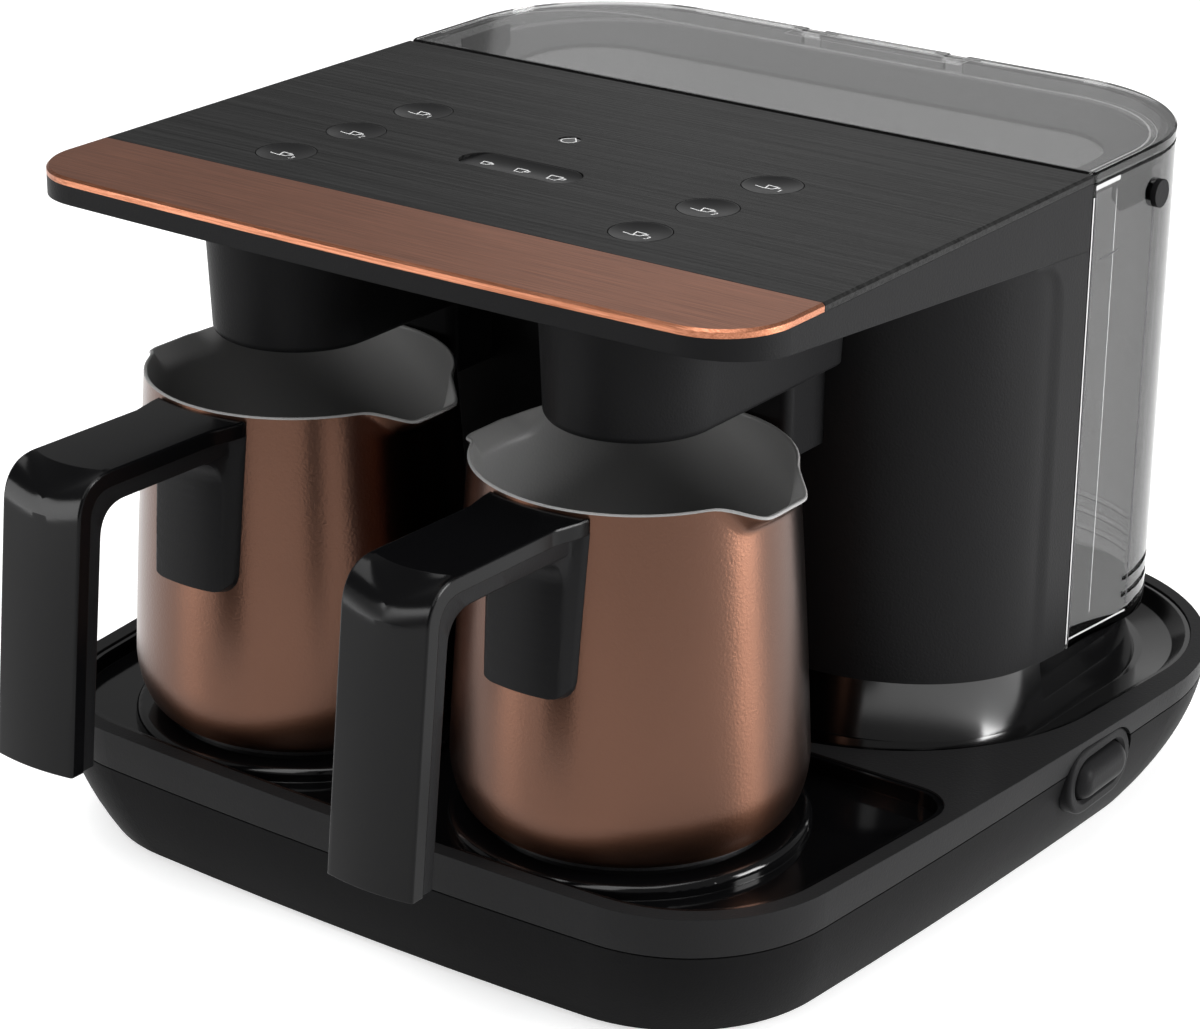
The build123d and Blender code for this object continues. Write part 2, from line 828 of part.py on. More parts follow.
def key_cap(plan_top, plan_flange, x, y, dish):
    """A key: a dished cap flush with the panel, a flange under it, and a stem to the board."""
    low = panel_bottom - key_clearance
    cap = slab(Pos(x, y) * plan_top, low, head_top) - dish
    cap += slab(Pos(x, y) * plan_flange, low - key_flange_thickness, low)
    stem_low = board_high + key_travel + key_clearance
    return cap + cylinder(key_stem_radius, stem_low, low, x, y)


dish_sphere = (key_radius**2 + key_dish**2) / (2 * key_dish)
for name, x, y in key_places():
    hollow = Pos(x, y, head_top + dish_sphere - key_dish) * Sphere(dish_sphere)
    top_panel -= cylinder(key_radius + key_gap, 0, head_top + cut, x, y)
    parts[f"key_{name}"] = key_cap(Circle(key_radius), Circle(key_radius + key_flange), x, y, hollow)

bar_plan = SlotOverall(bar_key_length, bar_key_width)
bar_hole = SlotOverall(bar_key_length + 2 * key_gap, bar_key_width + 2 * key_gap)
bar_flange = SlotOverall(bar_key_length + 2 * key_flange, bar_key_width + 2 * key_flange)
top_panel -= slab(Pos(bar_key_x, bar_key_y) * bar_hole, 0, head_top + cut)
bar_sphere = ((bar_key_width / 2) ** 2 + key_dish**2) / (2 * key_dish)
bar_rod = Pos(bar_key_x, bar_key_y, head_top + bar_sphere - key_dish) * Rot(0, 90, 0)
bar_hollow = bar_rod * Cylinder(bar_sphere, 2 * bar_key_length)
parts["key_cup_size"] = key_cap(bar_plan, bar_flange, bar_key_x, bar_key_y, bar_hollow)

top_panel -= cylinder(lens_radius, 0, head_top + cut, lens_x, lens_y)
parts["top_panel"] = top_panel
parts["status_lens"] = cylinder(lens_radius - lens_fit, board_high, head_top - lens_sink, lens_x, lens_y)

board_plan = Pos(board_middle_x, board_middle_y) * RectangleRounded(board_length, board_width, board_corner)
parts["keypad_board"] = slab(board_plan, board_low, board_high)


# ---- Brew heads -------------------------------------------------------------------------------


def brew_section(z, inset):
    """A half round in front of the pot's axis, with straight sides back to the column."""
    half = brew_half - inset + (z - brew_low) * math.tan(math.radians(brew_taper))
    nose = Circle(half)
    arm = Pos(0, (column_front - inset) / 2) * Rectangle(2 * half, column_front - inset)
    return nose + arm


def brew_solid(low, high, inset):
    return loft([Pos(0, 0, z) * brew_section(z, inset) for z in (low, high)])


under_head = slant_block(0, head_under, before, behind)
water_nozzles = Part()
level_eyes = Part()
sensor_housings = Part()
for side, x in (("left", -pot_x), ("right", pot_x)):
    head = brew_solid(brew_low, head_top, 0)
    head = fillet([e for e in head.edges() if e.bounding_box().max.Z < brew_low + cut], brew_round)
    head -= brew_solid(brew_low + brew_wall, head_top + cut, brew_wall)
    head = (Pos(x, 0, 0) * head) & under_head
    head -= cylinder(nozzle_radius, 0, head_top, x, nozzle_y)
    head -= cylinder(eye_radius, 0, head_top, x, eye_y)
    head -= cylinder_y(hose_radius + hose_hole_gap, sensor_block_front, column_front + cut, x, arm_hose_z)
    parts[f"brew_head_{side}"] = head
    nozzle = cylinder(nozzle_radius, brew_low - nozzle_drop, brew_low + nozzle_top, x, nozzle_y)
    flange_low = brew_low + brew_wall
    nozzle += cylinder(nozzle_radius + nozzle_flange, flange_low, flange_low + nozzle_flange, x, nozzle_y)
    water_nozzles += nozzle - cylinder(nozzle_bore, 0, head_top, x, nozzle_y)
    eye = cylinder(eye_radius, brew_low, brew_low + eye_thickness, x, eye_y)
    level_eyes += eye + cylinder(eye_radius + eye_flange, flange_low, brew_low + eye_thickness, x, eye_y)
    block_low = brew_low - sensor_block_height
    block_plan = d_plan(sensor_block_half, sensor_block_front, column_front, sensor_block_corner, 0)
    block_room = d_plan(
        sensor_block_half - sensor_block_wall,
        sensor_block_front + sensor_block_wall,
        column_front - sensor_block_wall,
        sensor_block_corner - sensor_block_wall,
        0,
    )
    block = slab(block_plan, block_low, brew_low)
    block -= slab(block_room, block_low + sensor_block_wall, brew_low - sensor_block_wall)
    sensor_housings += Pos(x, 0, 0) * block
parts["water_nozzles"] = water_nozzles
parts["level_eyes"] = level_eyes
parts["sensor_housings"] = sensor_housings


# ---- Pots -----------------------------------------------------------------------------------

rim_z = deck_top + pot_height


def pot_solid(inset, floor):
    """The pot's body of revolution: round foot, widest low down, narrowing to the rim."""
    foot = pot_foot_radius - inset
    belly = pot_belly_radius - inset
    rim = pot_rim_radius - inset
    low = deck_top + floor
    wide = deck_top + pot_belly_height
    edges = [
        Line((0, 0, low), (foot, 0, low)),
        Spline((foot, 0, low), (belly, 0, wide), tangents=((1, 0, 0), (0, 0, 1))),
        Spline((belly, 0, wide), (rim, 0, rim_z), tangents=((0, 0, 1), (-pot_rim_lean, 0, 1))),
        Line((rim, 0, rim_z), (0, 0, rim_z)),
        Line((0, 0, rim_z), (0, 0, low)),
    ]
    return revolve(make_face(edges), Axis.Z)


def spout_solid(inset):
    """A short, wide pouring lip: the lower half of an ellipsoid that bulges out of the wall."""
    axes = (spout_root + spout_reach - inset, spout_half - inset, spout_depth - inset)
    lip = Pos(pot_rim_radius - spout_root, 0, rim_z) * scale(Sphere(1), by=axes)
    return lip & slab(Rectangle(4 * pot_rim_radius, 4 * pot_rim_radius), deck_top, rim_z)


pot_outer = pot_solid(0, 0)
spout = spout_solid(0)
spout_room = spout_solid(pot_wall)
dip_rise = (spout_dip_half**2 - spout_dip**2) / (2 * spout_dip)
dip_radius = dip_rise + spout_dip
spout_room += cylinder_x(
    dip_radius, pot_rim_radius - pot_wall, pot_rim_radius + 2 * spout_reach, 0, rim_z + dip_rise
)
half_turn = Rot(0, 0, 180)
pot_envelope = pot_outer + spout + half_turn * spout
vessel = pot_envelope - pot_solid(pot_wall, pot_floor) - spout_room - half_turn * spout_room

# The handle's path: forward from the rim, round the bend, and down to the foot of the grip
handle_z = rim_z - handle_drop
handle_path = FilletPolyline(
    (0, handle_root_y, handle_z),
    (0, handle_corner_y, handle_z),
    (0, handle_corner_y - handle_lean, deck_top + handle_foot_z),
    radius=handle_bend,
)


def handle_sweep(profile_points):
    """Sweeps a section along the handle; each point is (across, inwards from the outer face)."""
    section = Plane(origin=handle_path @ 0, x_dir=(1, 0, 0), z_dir=(0, -1, 0)) * make_face(
        Polyline(*[(across, -inwards) for across, inwards in profile_points], close=True)
    )
    return sweep(section, handle_path)


grip = handle_sweep(
    [
        (-handle_flat_half, 0),
        (handle_flat_half, 0),
        (handle_half - handle_edge, handle_facet),
        (handle_half, handle_facet + handle_edge),
        (handle_half, handle_depth),
        (-handle_half, handle_depth),
        (-handle_half, handle_facet + handle_edge),
        (-handle_half + handle_edge, handle_facet),
    ]
)

# The liner fills the inside of the bend: its outer side follows the grip, its inner side has a corner
grip_drop = handle_z - deck_top - handle_foot_z
grip_slant = math.hypot(grip_drop, handle_lean)


def handle_offset(inwards):
    """Root, corner and foot of the handle's path, moved inwards in the side view, as (y, z)."""
    corner_shift = inwards * (grip_slant - handle_lean) / grip_drop
    foot_y = handle_corner_y - handle_lean + inwards * grip_drop / grip_slant
    foot_z = deck_top + handle_foot_z - inwards * handle_lean / grip_slant
    corner = (handle_corner_y + corner_shift, handle_z - inwards)
    return [(handle_root_y, handle_z - inwards), corner, (foot_y, foot_z)]


near = handle_offset(handle_depth)
far = handle_offset(handle_depth + liner_depth)
liner_side = make_face([
    *FilletPolyline(*near, radius=handle_bend - handle_depth).edges(),
    *Polyline(near[-1], *reversed(far), near[0]).edges(),
])
liner = extrude(Plane.YZ * liner_side, liner_half, both=True)
shield_face = Plane.XZ * make_face(
    Polyline(
        (-shield_half, handle_z),
        (shield_half, handle_z),
        (shield_half_low, deck_top + shield_bottom + shield_chamfer),
        (shield_half_low - shield_chamfer, deck_top + shield_bottom),
        (-shield_half_low + shield_chamfer, deck_top + shield_bottom),
        (-shield_half_low, deck_top + shield_bottom + shield_chamfer),
        close=True,
    )
)
shield_zone = Pos(0, shield_rear_y, 0) * extrude(shield_face, pot_belly_radius)
shield_round = slab(Circle(sketch_margin), deck_top, handle_z)
shield_outer = pot_solid(-shield_thickness, -shield_thickness) & shield_round
shield_shell = shield_outer & shield_zone
grip -= shield_outer
grip -= pot_outer
liner -= shield_outer
liner = (liner + shield_shell) - pot_outer - grip
for side, x in (("left", -pot_x), ("right", pot_x)):
    parts[f"pot_{side}"] = Pos(x, 0, 0) * vessel
    parts[f"handle_{side}"] = Pos(x, 0, 0) * grip
    parts[f"handle_liner_{side}"] = Pos(x, 0, 0) * liner


# ---- Water tank ---------------------------------------------------------------------------------


def tank_plan(inset):
    return d_plan(
        body_half - inset,
        frame_rear + inset,
        tank_rear - inset,
        max(tank_edge - inset, tank_edge_least),
        tank_radius - inset,
    )


lid_top = head_top + lid_rise
lid_low = lid_top - lid_thickness
tank_top = lid_low - lid_gap
tank_body = slab(tank_plan(0), 0, tank_top) & slant_block(column_under, tank_top, before, behind)
tank_room = slab(tank_plan(tank_wall), 0, tank_top + cut)
tank_body -= tank_room & slant_block(lambda y: column_under(y) + tank_wall, tank_top + cut, before, behind)
rib_low = column_under(rib_start_y) + rib_lift
rib_skin = slab(tank_plan(-cut), 0, tank_top) - slab(tank_plan(rib_depth), -cut, tank_top + cut)
rib_zone = slant_block(0, tank_top, rib_start_y, behind)
for i in range(rib_count):
    low = rib_low + i * rib_pitch
    tank_body -= (rib_skin & rib_zone) & slant_block(low, low + rib_height, before, behind)

hinge_y = tank_rear - hinge_inset
hinge_z = lid_top - hinge_depth
lid = slab(tank_plan(0), lid_low, lid_top)
lid = chamfer(lid.faces().sort_by(Axis.Z)[0].edges(), lid_bevel)
lid = chamfer(lid.faces().sort_by(Axis.Z)[-1].edges(), lid_bevel)
lip_outer = tank_wall + lid_lip_fit
lid += slab(tank_plan(lip_outer), lid_low - lid_gap - lid_lip, lid_low) - slab(
    tank_plan(lip_outer + lid_lip_wall), 0, lid_low
)
pin = Part()
for x in (-hinge_x, hinge_x):
    notch_half = hinge_ear_half + hinge_side_gap
    notch = slant_block(tank_top - ear_root, lid_top + cut, tank_rear - notch_depth, behind, notch_half)
    lid -= Pos(x, 0, 0) * notch
    ear = slant_block(tank_top - ear_root, hinge_z, tank_rear - tank_wall, tank_rear, hinge_ear_half)
    ear += cylinder_x(hinge_inset, -hinge_ear_half, hinge_ear_half, hinge_y, hinge_z)
    ear -= cylinder_x(hinge_pin_radius + hinge_fit, -hinge_x, hinge_x, hinge_y, hinge_z)
    tank_body += Pos(x, 0, 0) * ear
    pin += Pos(x, 0, 0) * cylinder_x(hinge_pin_radius, -hinge_pin_half, hinge_pin_half, hinge_y, hinge_z)
lid -= pin
parts["tank_lid"] = lid
parts["hinge_pins"] = pin

grip_high = tank_top - grip_gap
grip_low = grip_high - grip_height
grip_face = Plane.YZ * make_face(
    Polyline(
        (grip_front, grip_high),
        (grip_front, grip_low + grip_corner),
        (grip_front + grip_corner, grip_low),
        (grip_rear - grip_corner, grip_low),
        (grip_rear, grip_low + grip_corner),
        (grip_rear, grip_high),
        close=True,
    )
)
inner_face_x = body_half - tank_wall
plate = Pos(inner_face_x - grip_thickness, 0, 0) * extrude(grip_face, grip_thickness)
plate = plate & slab(tank_plan(lip_outer + lid_lip_wall + grip_fit), 0, head_top)
plate_x = inner_face_x - grip_thickness
knob_z = tank_top - knob_drop
stub = cylinder_x(stub_radius, plate_x, body_half + stub_sink, knob_y, knob_z)
knob = cylinder_x(knob_radius, body_half, body_half + knob_proud, knob_y, knob_z)
grip_piece = plate + stub + knob
tank_body -= stub
tank_body -= mirror(stub, Plane.YZ)
parts["tank_grips"] = grip_piece + mirror(grip_piece, Plane.YZ)

tank_body -= cylinder(valve_bore, 0, tank_floor + sketch_margin, valve_x, valve_y)
parts["tank_body"] = tank_body


seat_low = tank_floor + tank_wall - seal_sink
seat_top = seat_low + seal_height
seat = tube(valve_disc + seal_width, valve_bore - seal_overhang, seat_low, seat_top, valve_x, valve_y)
parts["tank_seal"] = seat - tank_body

filter_top = seat_low + filter_height
filter_ceiling = filter_top - filter_wall
filter_cup = cylinder(filter_radius, seat_low, filter_top, valve_x, valve_y)
filter_cup -= cylinder(filter_radius - filter_wall, 0, filter_ceiling, valve_x, valve_y)
filter_cup -= cylinder(valve_stem + valve_fit, 0, head_top, valve_x, valve_y)
slot_height = filter_top - seat_top - 2 * filter_slot_margin
slot_box = Box(filter_slot_depth, filter_slot_width, slot_height)
slot = Pos(filter_radius, 0, (seat_top + filter_top) / 2) * slot_box
for i in range(filter_slots):
    filter_cup -= Pos(valve_x, valve_y, 0) * (Rot(0, 0, 360 * i / filter_slots) * slot)
parts["tank_filter"] = filter_cup - tank_body

disc_low = seat_top + valve_open
disc_high = disc_low + valve_disc_thickness
valve = cylinder(valve_disc, disc_low, disc_high, valve_x, valve_y)
valve += cylinder(valve_stem, stem_low, filter_top + valve_stem_top, valve_x, valve_y)
parts["tank_valve"] = valve
valve_coil = valve_disc - valve_spring_inset
parts["valve_spring"] = coil_spring(
    valve_coil, valve_spring_wire, disc_high, filter_ceiling, spring_turns, valve_x, valve_y
)


# ---- Power switch ---------------------------------------------------------------------------------

def bezel_obround(inset, low, high):
    """The bezel's outline, drawn in by the same distance all round."""
    return side_obround(bezel_length - 2 * inset, bezel_width - 2 * inset, low, high)


bezel = bezel_obround(bezel_fit, bezel_back, wall_x)
bezel = fillet(bezel.faces().sort_by(Axis.X)[-1].edges(), bezel_round)
bezel -= bezel_obround(bezel_wall, bezel_back - cut, beyond)
bezel = chamfer(bezel.faces().sort_by(Axis.X)[-1].inner_wires()[0].edges(), bezel_bevel)
parts["power_bezel"] = bezel

button = bezel_obround(bezel_wall + button_gap, button_back, wall_x + button_proud)
button = fillet(button.faces().sort_by(Axis.X)[-1].edges(), button_round)
stem_z = switch_z - button_stem_drop
stem_back = wall_x - button_stem_reach
button += cylinder_x(button_stem_radius, stem_back, button_back, switch_y, stem_z)
parts["power_button"] = button

pan_floor = foot_height + base_wall
switch_front = stem_back - button_travel - switch_gap
switch_top = stem_z + switch_rise
parts["power_switch"] = Pos(
    switch_front - switch_body_size / 2, switch_y, (pan_floor + switch_top) / 2
) * Box(switch_body_size, switch_body_size, switch_top - pan_floor)


# ---- Rear inlet and boards -------------------------------------------------------------------------

inlet_back = inlet_face_y + inlet_flange
inlet = cylinder_y(inlet_radius, inlet_face_y - inlet_length, inlet_back, inlet_x, inlet_height)
inlet += cylinder_y(
    inlet_radius + inlet_collar, inlet_face_y - inlet_collar_depth, inlet_back, inlet_x, inlet_height
)
inlet -= cylinder_y(inlet_bore, 0, inlet_back + cut, inlet_x, inlet_height)
parts["cord_inlet"] = inlet - base_pan

power_low = pan_floor + power_board_lift
power_top = power_low + board_thickness
power_board = Pos(power_board_x, power_board_y, (power_low + power_top) / 2) * Box(
    power_board_length, power_board_width, board_thickness
)
power_post_x = power_board_length / 2 - power_post_inset
power_post_y = power_board_width / 2 - power_post_inset
for sx in (-1, 1):
    for sy in (-1, 1):
        post = cylinder(post_radius, pan_floor, power_low, sx * power_post_x, sy * power_post_y)
        power_board += Pos(power_board_x, power_board_y, 0) * post
for x, y, length, width, height in power_blocks:
    power_board += Pos(x, y, power_top + height / 2) * Box(length, width, height)
for x in can_places_x:
    power_board += cylinder(can_radius, power_top, power_top + can_height, x, can_y)
parts["power_board"] = power_board

wall_inner_y = frame_rear - tank_gap - frame_wall
control_y = wall_inner_y - control_post_length
control_z = deck_top + control_board_rise
chip_y = control_y - board_thickness - chip_thickness / 2
control_board = Pos(control_board_x, control_y - board_thickness / 2, control_z) * Box(
    control_board_length, board_thickness, control_board_height
)
for sx in (-1, 1):
    for sz in (-1, 1):
        post_x = control_board_x + sx * (control_board_length / 2 - control_post_inset)
        post_z = control_z + sz * (control_board_height / 2 - control_post_inset)
        control_board += cylinder_y(control_post_radius, control_y, wall_inner_y, post_x, post_z)
for dx, dz, size in control_chips:
    chip = Box(size, chip_thickness, size * chip_share)
    control_board += Pos(control_board_x + dx, chip_y, control_z + dz) * chip
parts["control_board"] = control_board


# ---- Pump, flow meter and hoses ------------------------------------------------------------------------

pump_left = pump_x - pump_length / 2
pump_right = pump_x + pump_length / 2
port_left = pump_left - pump_port_length
pump_body = cylinder_x(pump_radius, pump_left, pump_right, pump_y, pump_z)
pump_body += cylinder_x(pump_port_radius, port_left, pump_left, pump_y, pump_z)
pump_body += cylinder_x(pump_port_radius, pump_right, pot_x - tee_half, pump_y, pump_z)
pump_body += Pos(pot_x, pump_y, pump_z) * Box(2 * tee_half, 2 * tee_half, 2 * tee_half)
bracket = Box(bracket_length, wall_inner_y - pump_y, bracket_height)
pump_body += Pos(pump_x, (pump_y + wall_inner_y) / 2, pump_z) * bracket
pump_body -= cylinder_x(pump_bore, pump_left + pump_end_wall, pump_right - pump_end_wall, pump_y, pump_z)
pump_body -= cylinder_x(pump_port_bore, port_left - cut, pot_x, pump_y, pump_z)
parts["pump_body"] = pump_body
piston_half = pump_piston_length / 2
piston = cylinder_x(pump_bore - pump_fit, pump_x - piston_half, pump_x + piston_half, pump_y, pump_z)
parts["pump_piston"] = piston - cylinder_x(pump_piston_bore, pump_left, pump_right, pump_y, pump_z)

meter_top = meter_z + meter_height
meter_inner = meter_radius - meter_wall
stub_low = meter_z - meter_stub
stub_high = meter_top + meter_stub
meter = cylinder(meter_radius, meter_z, meter_top, meter_x, meter_y)
meter += cylinder(hose_radius, stub_low, stub_high, meter_x, meter_y)
meter -= cylinder(meter_inner, meter_z + meter_wall, meter_top - meter_wall, meter_x, meter_y)
meter -= cylinder(meter_bore, stub_low - cut, stub_high + cut, meter_x, meter_y)
meter += cylinder(
    turbine_pin_radius, meter_z + meter_pin_sink, meter_top - meter_pin_sink, meter_x, meter_y
)
for wall_middle in (meter_z + meter_wall / 2, meter_top - meter_wall / 2):
    meter += Pos(meter_x, meter_y, wall_middle) * Box(2 * hose_radius, meter_bar, meter_wall)
arm_length = wall_inner_y - meter_y
meter_arm = Pos(meter_x, meter_y + arm_length / 2, (meter_z + meter_top) / 2) * Box(
    meter_arm_width, arm_length, meter_arm_height
)
meter += meter_arm - cylinder(meter_inner + meter_wall / 2, meter_z, meter_top, meter_x, meter_y)
parts["flow_meter"] = meter

turbine_low = meter_z + meter_wall + turbine_gap
turbine_high = meter_top - meter_wall - turbine_gap
turbine_reach = meter_inner - turbine_gap
turbine = cylinder(turbine_hub, turbine_low, turbine_high)
blade = Pos(turbine_reach / 2, 0, (turbine_low + turbine_high) / 2) * Box(
    turbine_reach, turbine_blade, turbine_high - turbine_low
)
for i in range(turbine_blades):
    turbine += Rot(0, 0, 360 * i / turbine_blades) * blade
turbine -= cylinder(turbine_pin_radius + turbine_fit, 0, head_top)
parts["flow_turbine"] = Pos(meter_x, meter_y, 0) * turbine

low_run = pan_floor + hose_radius + hose_floor_gap
cross_y = column_front + column_wall + hose_radius + hose_wall_gap
nozzle_end = brew_low + nozzle_top
tank_to_meter = [
    (valve_x, valve_y, spigot_low),
    (valve_x, valve_y, low_run),
    (meter_x, meter_y, low_run),
    (meter_x, meter_y, stub_low),
]
meter_to_pump = [(meter_x, meter_y, stub_high), (meter_x, pump_y, pump_z), (port_left, pump_y, pump_z)]
pump_to_right = [
    (pot_x, pump_y, pump_z + tee_half),
    (pot_x, pump_y, arm_hose_z),
    (pot_x, nozzle_y, arm_hose_z),
    (pot_x, nozzle_y, nozzle_end),
]
pump_to_left = [
    (pot_x, pump_y - tee_half, pump_z),
    (pot_x, cross_y, pump_z),
    (-pot_x, cross_y, pump_z),
    (-pot_x, cross_y, arm_hose_z),
    (-pot_x, nozzle_y, arm_hose_z),
    (-pot_x, nozzle_y, nozzle_end),
]
hoses = Part()
for route in (tank_to_meter, meter_to_pump, pump_to_right, pump_to_left):
    hoses += pipe(route, hose_radius, hose_bend)
parts["hoses"] = hoses


# ---- Write the parts, with the origin under the middle of the machine --------------------------------

handle_front = parts["handle_left"].bounding_box().min.Y
shift_y = -(handle_front + parts["base_rim"].bounding_box().max.Y) / 2
for name, shape in parts.items():
    solids = [s.moved(Pos(0, shift_y, 0)) for s in shape.solids()]
    body = solids[0] if len(solids) == 1 else Compound(children=solids)
    export_step(body, f"parts/{name}.step")
print(len(parts), "parts, moved along Y by", round(shift_y, 3))
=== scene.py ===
import json
import math

import bmesh
import bpy
from mathutils import Euler, Matrix, Vector


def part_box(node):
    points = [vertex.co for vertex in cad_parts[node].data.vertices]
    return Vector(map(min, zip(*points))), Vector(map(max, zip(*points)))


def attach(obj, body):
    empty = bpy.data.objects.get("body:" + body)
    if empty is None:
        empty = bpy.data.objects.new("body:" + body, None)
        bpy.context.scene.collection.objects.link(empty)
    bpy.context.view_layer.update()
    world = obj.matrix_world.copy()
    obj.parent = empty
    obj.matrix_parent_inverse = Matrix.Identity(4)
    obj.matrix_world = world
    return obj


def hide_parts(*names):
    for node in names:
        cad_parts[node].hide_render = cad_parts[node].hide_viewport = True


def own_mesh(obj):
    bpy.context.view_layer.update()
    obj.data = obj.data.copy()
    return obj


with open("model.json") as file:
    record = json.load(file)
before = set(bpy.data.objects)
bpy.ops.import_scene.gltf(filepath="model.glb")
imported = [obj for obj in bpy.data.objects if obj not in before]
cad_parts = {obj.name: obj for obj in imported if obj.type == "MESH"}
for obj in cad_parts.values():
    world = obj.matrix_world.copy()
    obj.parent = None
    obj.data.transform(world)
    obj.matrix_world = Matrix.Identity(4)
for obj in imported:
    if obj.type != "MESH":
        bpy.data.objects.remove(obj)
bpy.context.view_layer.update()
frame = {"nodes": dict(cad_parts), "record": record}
nodes = frame["nodes"]
print("frame loaded:", len(nodes), "CAD nodes")

mm = 0.001
potAxisY = sum(corner.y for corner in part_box("heater_plate_left")) / 2
toRow = Matrix.Translation((0, potAxisY, 0)) @ Matrix.Scale(mm, 4)  # own pieces: mm, Y = 0 at the pots


# shader groups: each gives colours, masks, roughness and normals that change over the surface

def buildGroup(name, inputs, outputs, wire):
    group = bpy.data.node_groups.new(name, "ShaderNodeTree")
    for label, value in inputs.items():
        kind = "NodeSocketColor" if isinstance(value, tuple) else "NodeSocketFloat"
        group.interface.new_socket(label, in_out="INPUT", socket_type=kind).default_value = value
    for label, kind in outputs.items():
        group.interface.new_socket(label, in_out="OUTPUT", socket_type="NodeSocket" + kind)
    start = group.nodes.new("NodeGroupInput")
    end = group.nodes.new("NodeGroupOutput")
    wire(group, start.outputs, end.inputs)
    return group


def addNode(tree, kind, **values):
    # values are the node's own settings, or its sockets with _ for a space
    node = tree.nodes.new(kind)
    for key, value in values.items():
        if hasattr(node, key):
            setattr(node, key, value)
        else:
            node.inputs[key.replace("_", " ")].default_value = value
    return node


def spreadRoughness(tree, fac, gloss, spread):
    # roughness swings round its middle value by the spread
    shifted = addNode(tree, "ShaderNodeMath", operation="MULTIPLY_ADD")
    centred = addNode(tree, "ShaderNodeMath", operation="SUBTRACT")
    centred.inputs[1].default_value = 0.5
    tree.links.new(fac, centred.inputs[0])
    tree.links.new(centred.outputs[0], shifted.inputs[0])
    tree.links.new(spread, shifted.inputs[1])
    tree.links.new(gloss, shifted.inputs[2])
    return shifted.outputs[0]


def roundedNormal(tree, radius):
    # edges catch the light as if rounded by this radius
    bevel = addNode(tree, "ShaderNodeBevel", samples=4)
    tree.links.new(radius, bevel.inputs["Radius"])
    return bevel.outputs["Normal"]


def wireMouldGrain(tree, given, out):
    place = addNode(tree, "ShaderNodeTexCoord")
    fine = addNode(tree, "ShaderNodeTexNoise", Detail=3.0)
    cloud = addNode(tree, "ShaderNodeTexNoise", Scale=22.0, Detail=4.0)
    bump = addNode(tree, "ShaderNodeBump", Distance=0.0002)
    tree.links.new(place.outputs["Object"], fine.inputs["Vector"])
    tree.links.new(place.outputs["Object"], cloud.inputs["Vector"])
    tree.links.new(given["Scale"], fine.inputs["Scale"])
    tree.links.new(given["Depth"], bump.inputs["Strength"])
    tree.links.new(fine.outputs["Fac"], bump.inputs["Height"])
    tree.links.new(roundedNormal(tree, given["Edge"]), bump.inputs["Normal"])
    tree.links.new(bump.outputs["Normal"], out["Normal"])
    rough = spreadRoughness(tree, cloud.outputs["Fac"], given["Gloss"], given["Spread"])
    tree.links.new(rough, out["Roughness"])
    tree.links.new(cloud.outputs["Fac"], out["Cloud"])


def wireBrushed(tree, given, out):
    place = addNode(tree, "ShaderNodeTexCoord")
    stretch = addNode(tree, "ShaderNodeMapping")
    stretch.inputs["Scale"].default_value = (0.012, 1.0, 1.0)  # long streaks along X
    lines = addNode(tree, "ShaderNodeTexNoise", Detail=6.0, Roughness=0.7)
    bump = addNode(tree, "ShaderNodeBump", Distance=0.0002)
    streak = addNode(tree, "ShaderNodeMapRange", From_Min=0.36, From_Max=0.64)
    tree.links.new(lines.outputs["Fac"], streak.inputs["Value"])
    tree.links.new(place.outputs["Object"], stretch.inputs["Vector"])
    tree.links.new(stretch.outputs["Vector"], lines.inputs["Vector"])
    tree.links.new(given["Scale"], lines.inputs["Scale"])
    tree.links.new(given["Depth"], bump.inputs["Strength"])
    tree.links.new(lines.outputs["Fac"], bump.inputs["Height"])
    tree.links.new(roundedNormal(tree, given["Edge"]), bump.inputs["Normal"])
    tree.links.new(bump.outputs["Normal"], out["Normal"])
    rough = spreadRoughness(tree, lines.outputs["Fac"], given["Gloss"], given["Spread"])
    tree.links.new(rough, out["Roughness"])
    tint = addNode(tree, "ShaderNodeMix", data_type="RGBA")
    tree.links.new(streak.outputs["Result"], tint.inputs["Factor"])
    tree.links.new(given["Dark"], tint.inputs["A"])
    tree.links.new(given["Light"], tint.inputs["B"])
    tree.links.new(tint.outputs["Result"], out["Color"])


mouldGrain = buildGroup(
    "mouldGrain",
    {"Scale": 1800.0, "Depth": 0.3, "Gloss": 0.5, "Spread": 0.1, "Edge": 0.0004},
    {"Roughness": "Float", "Normal": "Vector", "Cloud": "Float"},
    wireMouldGrain,
)
brushedLines = buildGroup(
    "brushedLines",
    {"Scale": 2500.0, "Depth": 0.3, "Gloss": 0.35, "Spread": 0.1, "Edge": 0.0003,
     "Dark": (0.01, 0.01, 0.01, 1.0), "Light": (0.02, 0.02, 0.02, 1.0)},
    {"Roughness": "Float", "Normal": "Vector", "Color": "Color"},
    wireBrushed,
)


# materials: one dictionary entry per finish, with the scale and depth of its grain

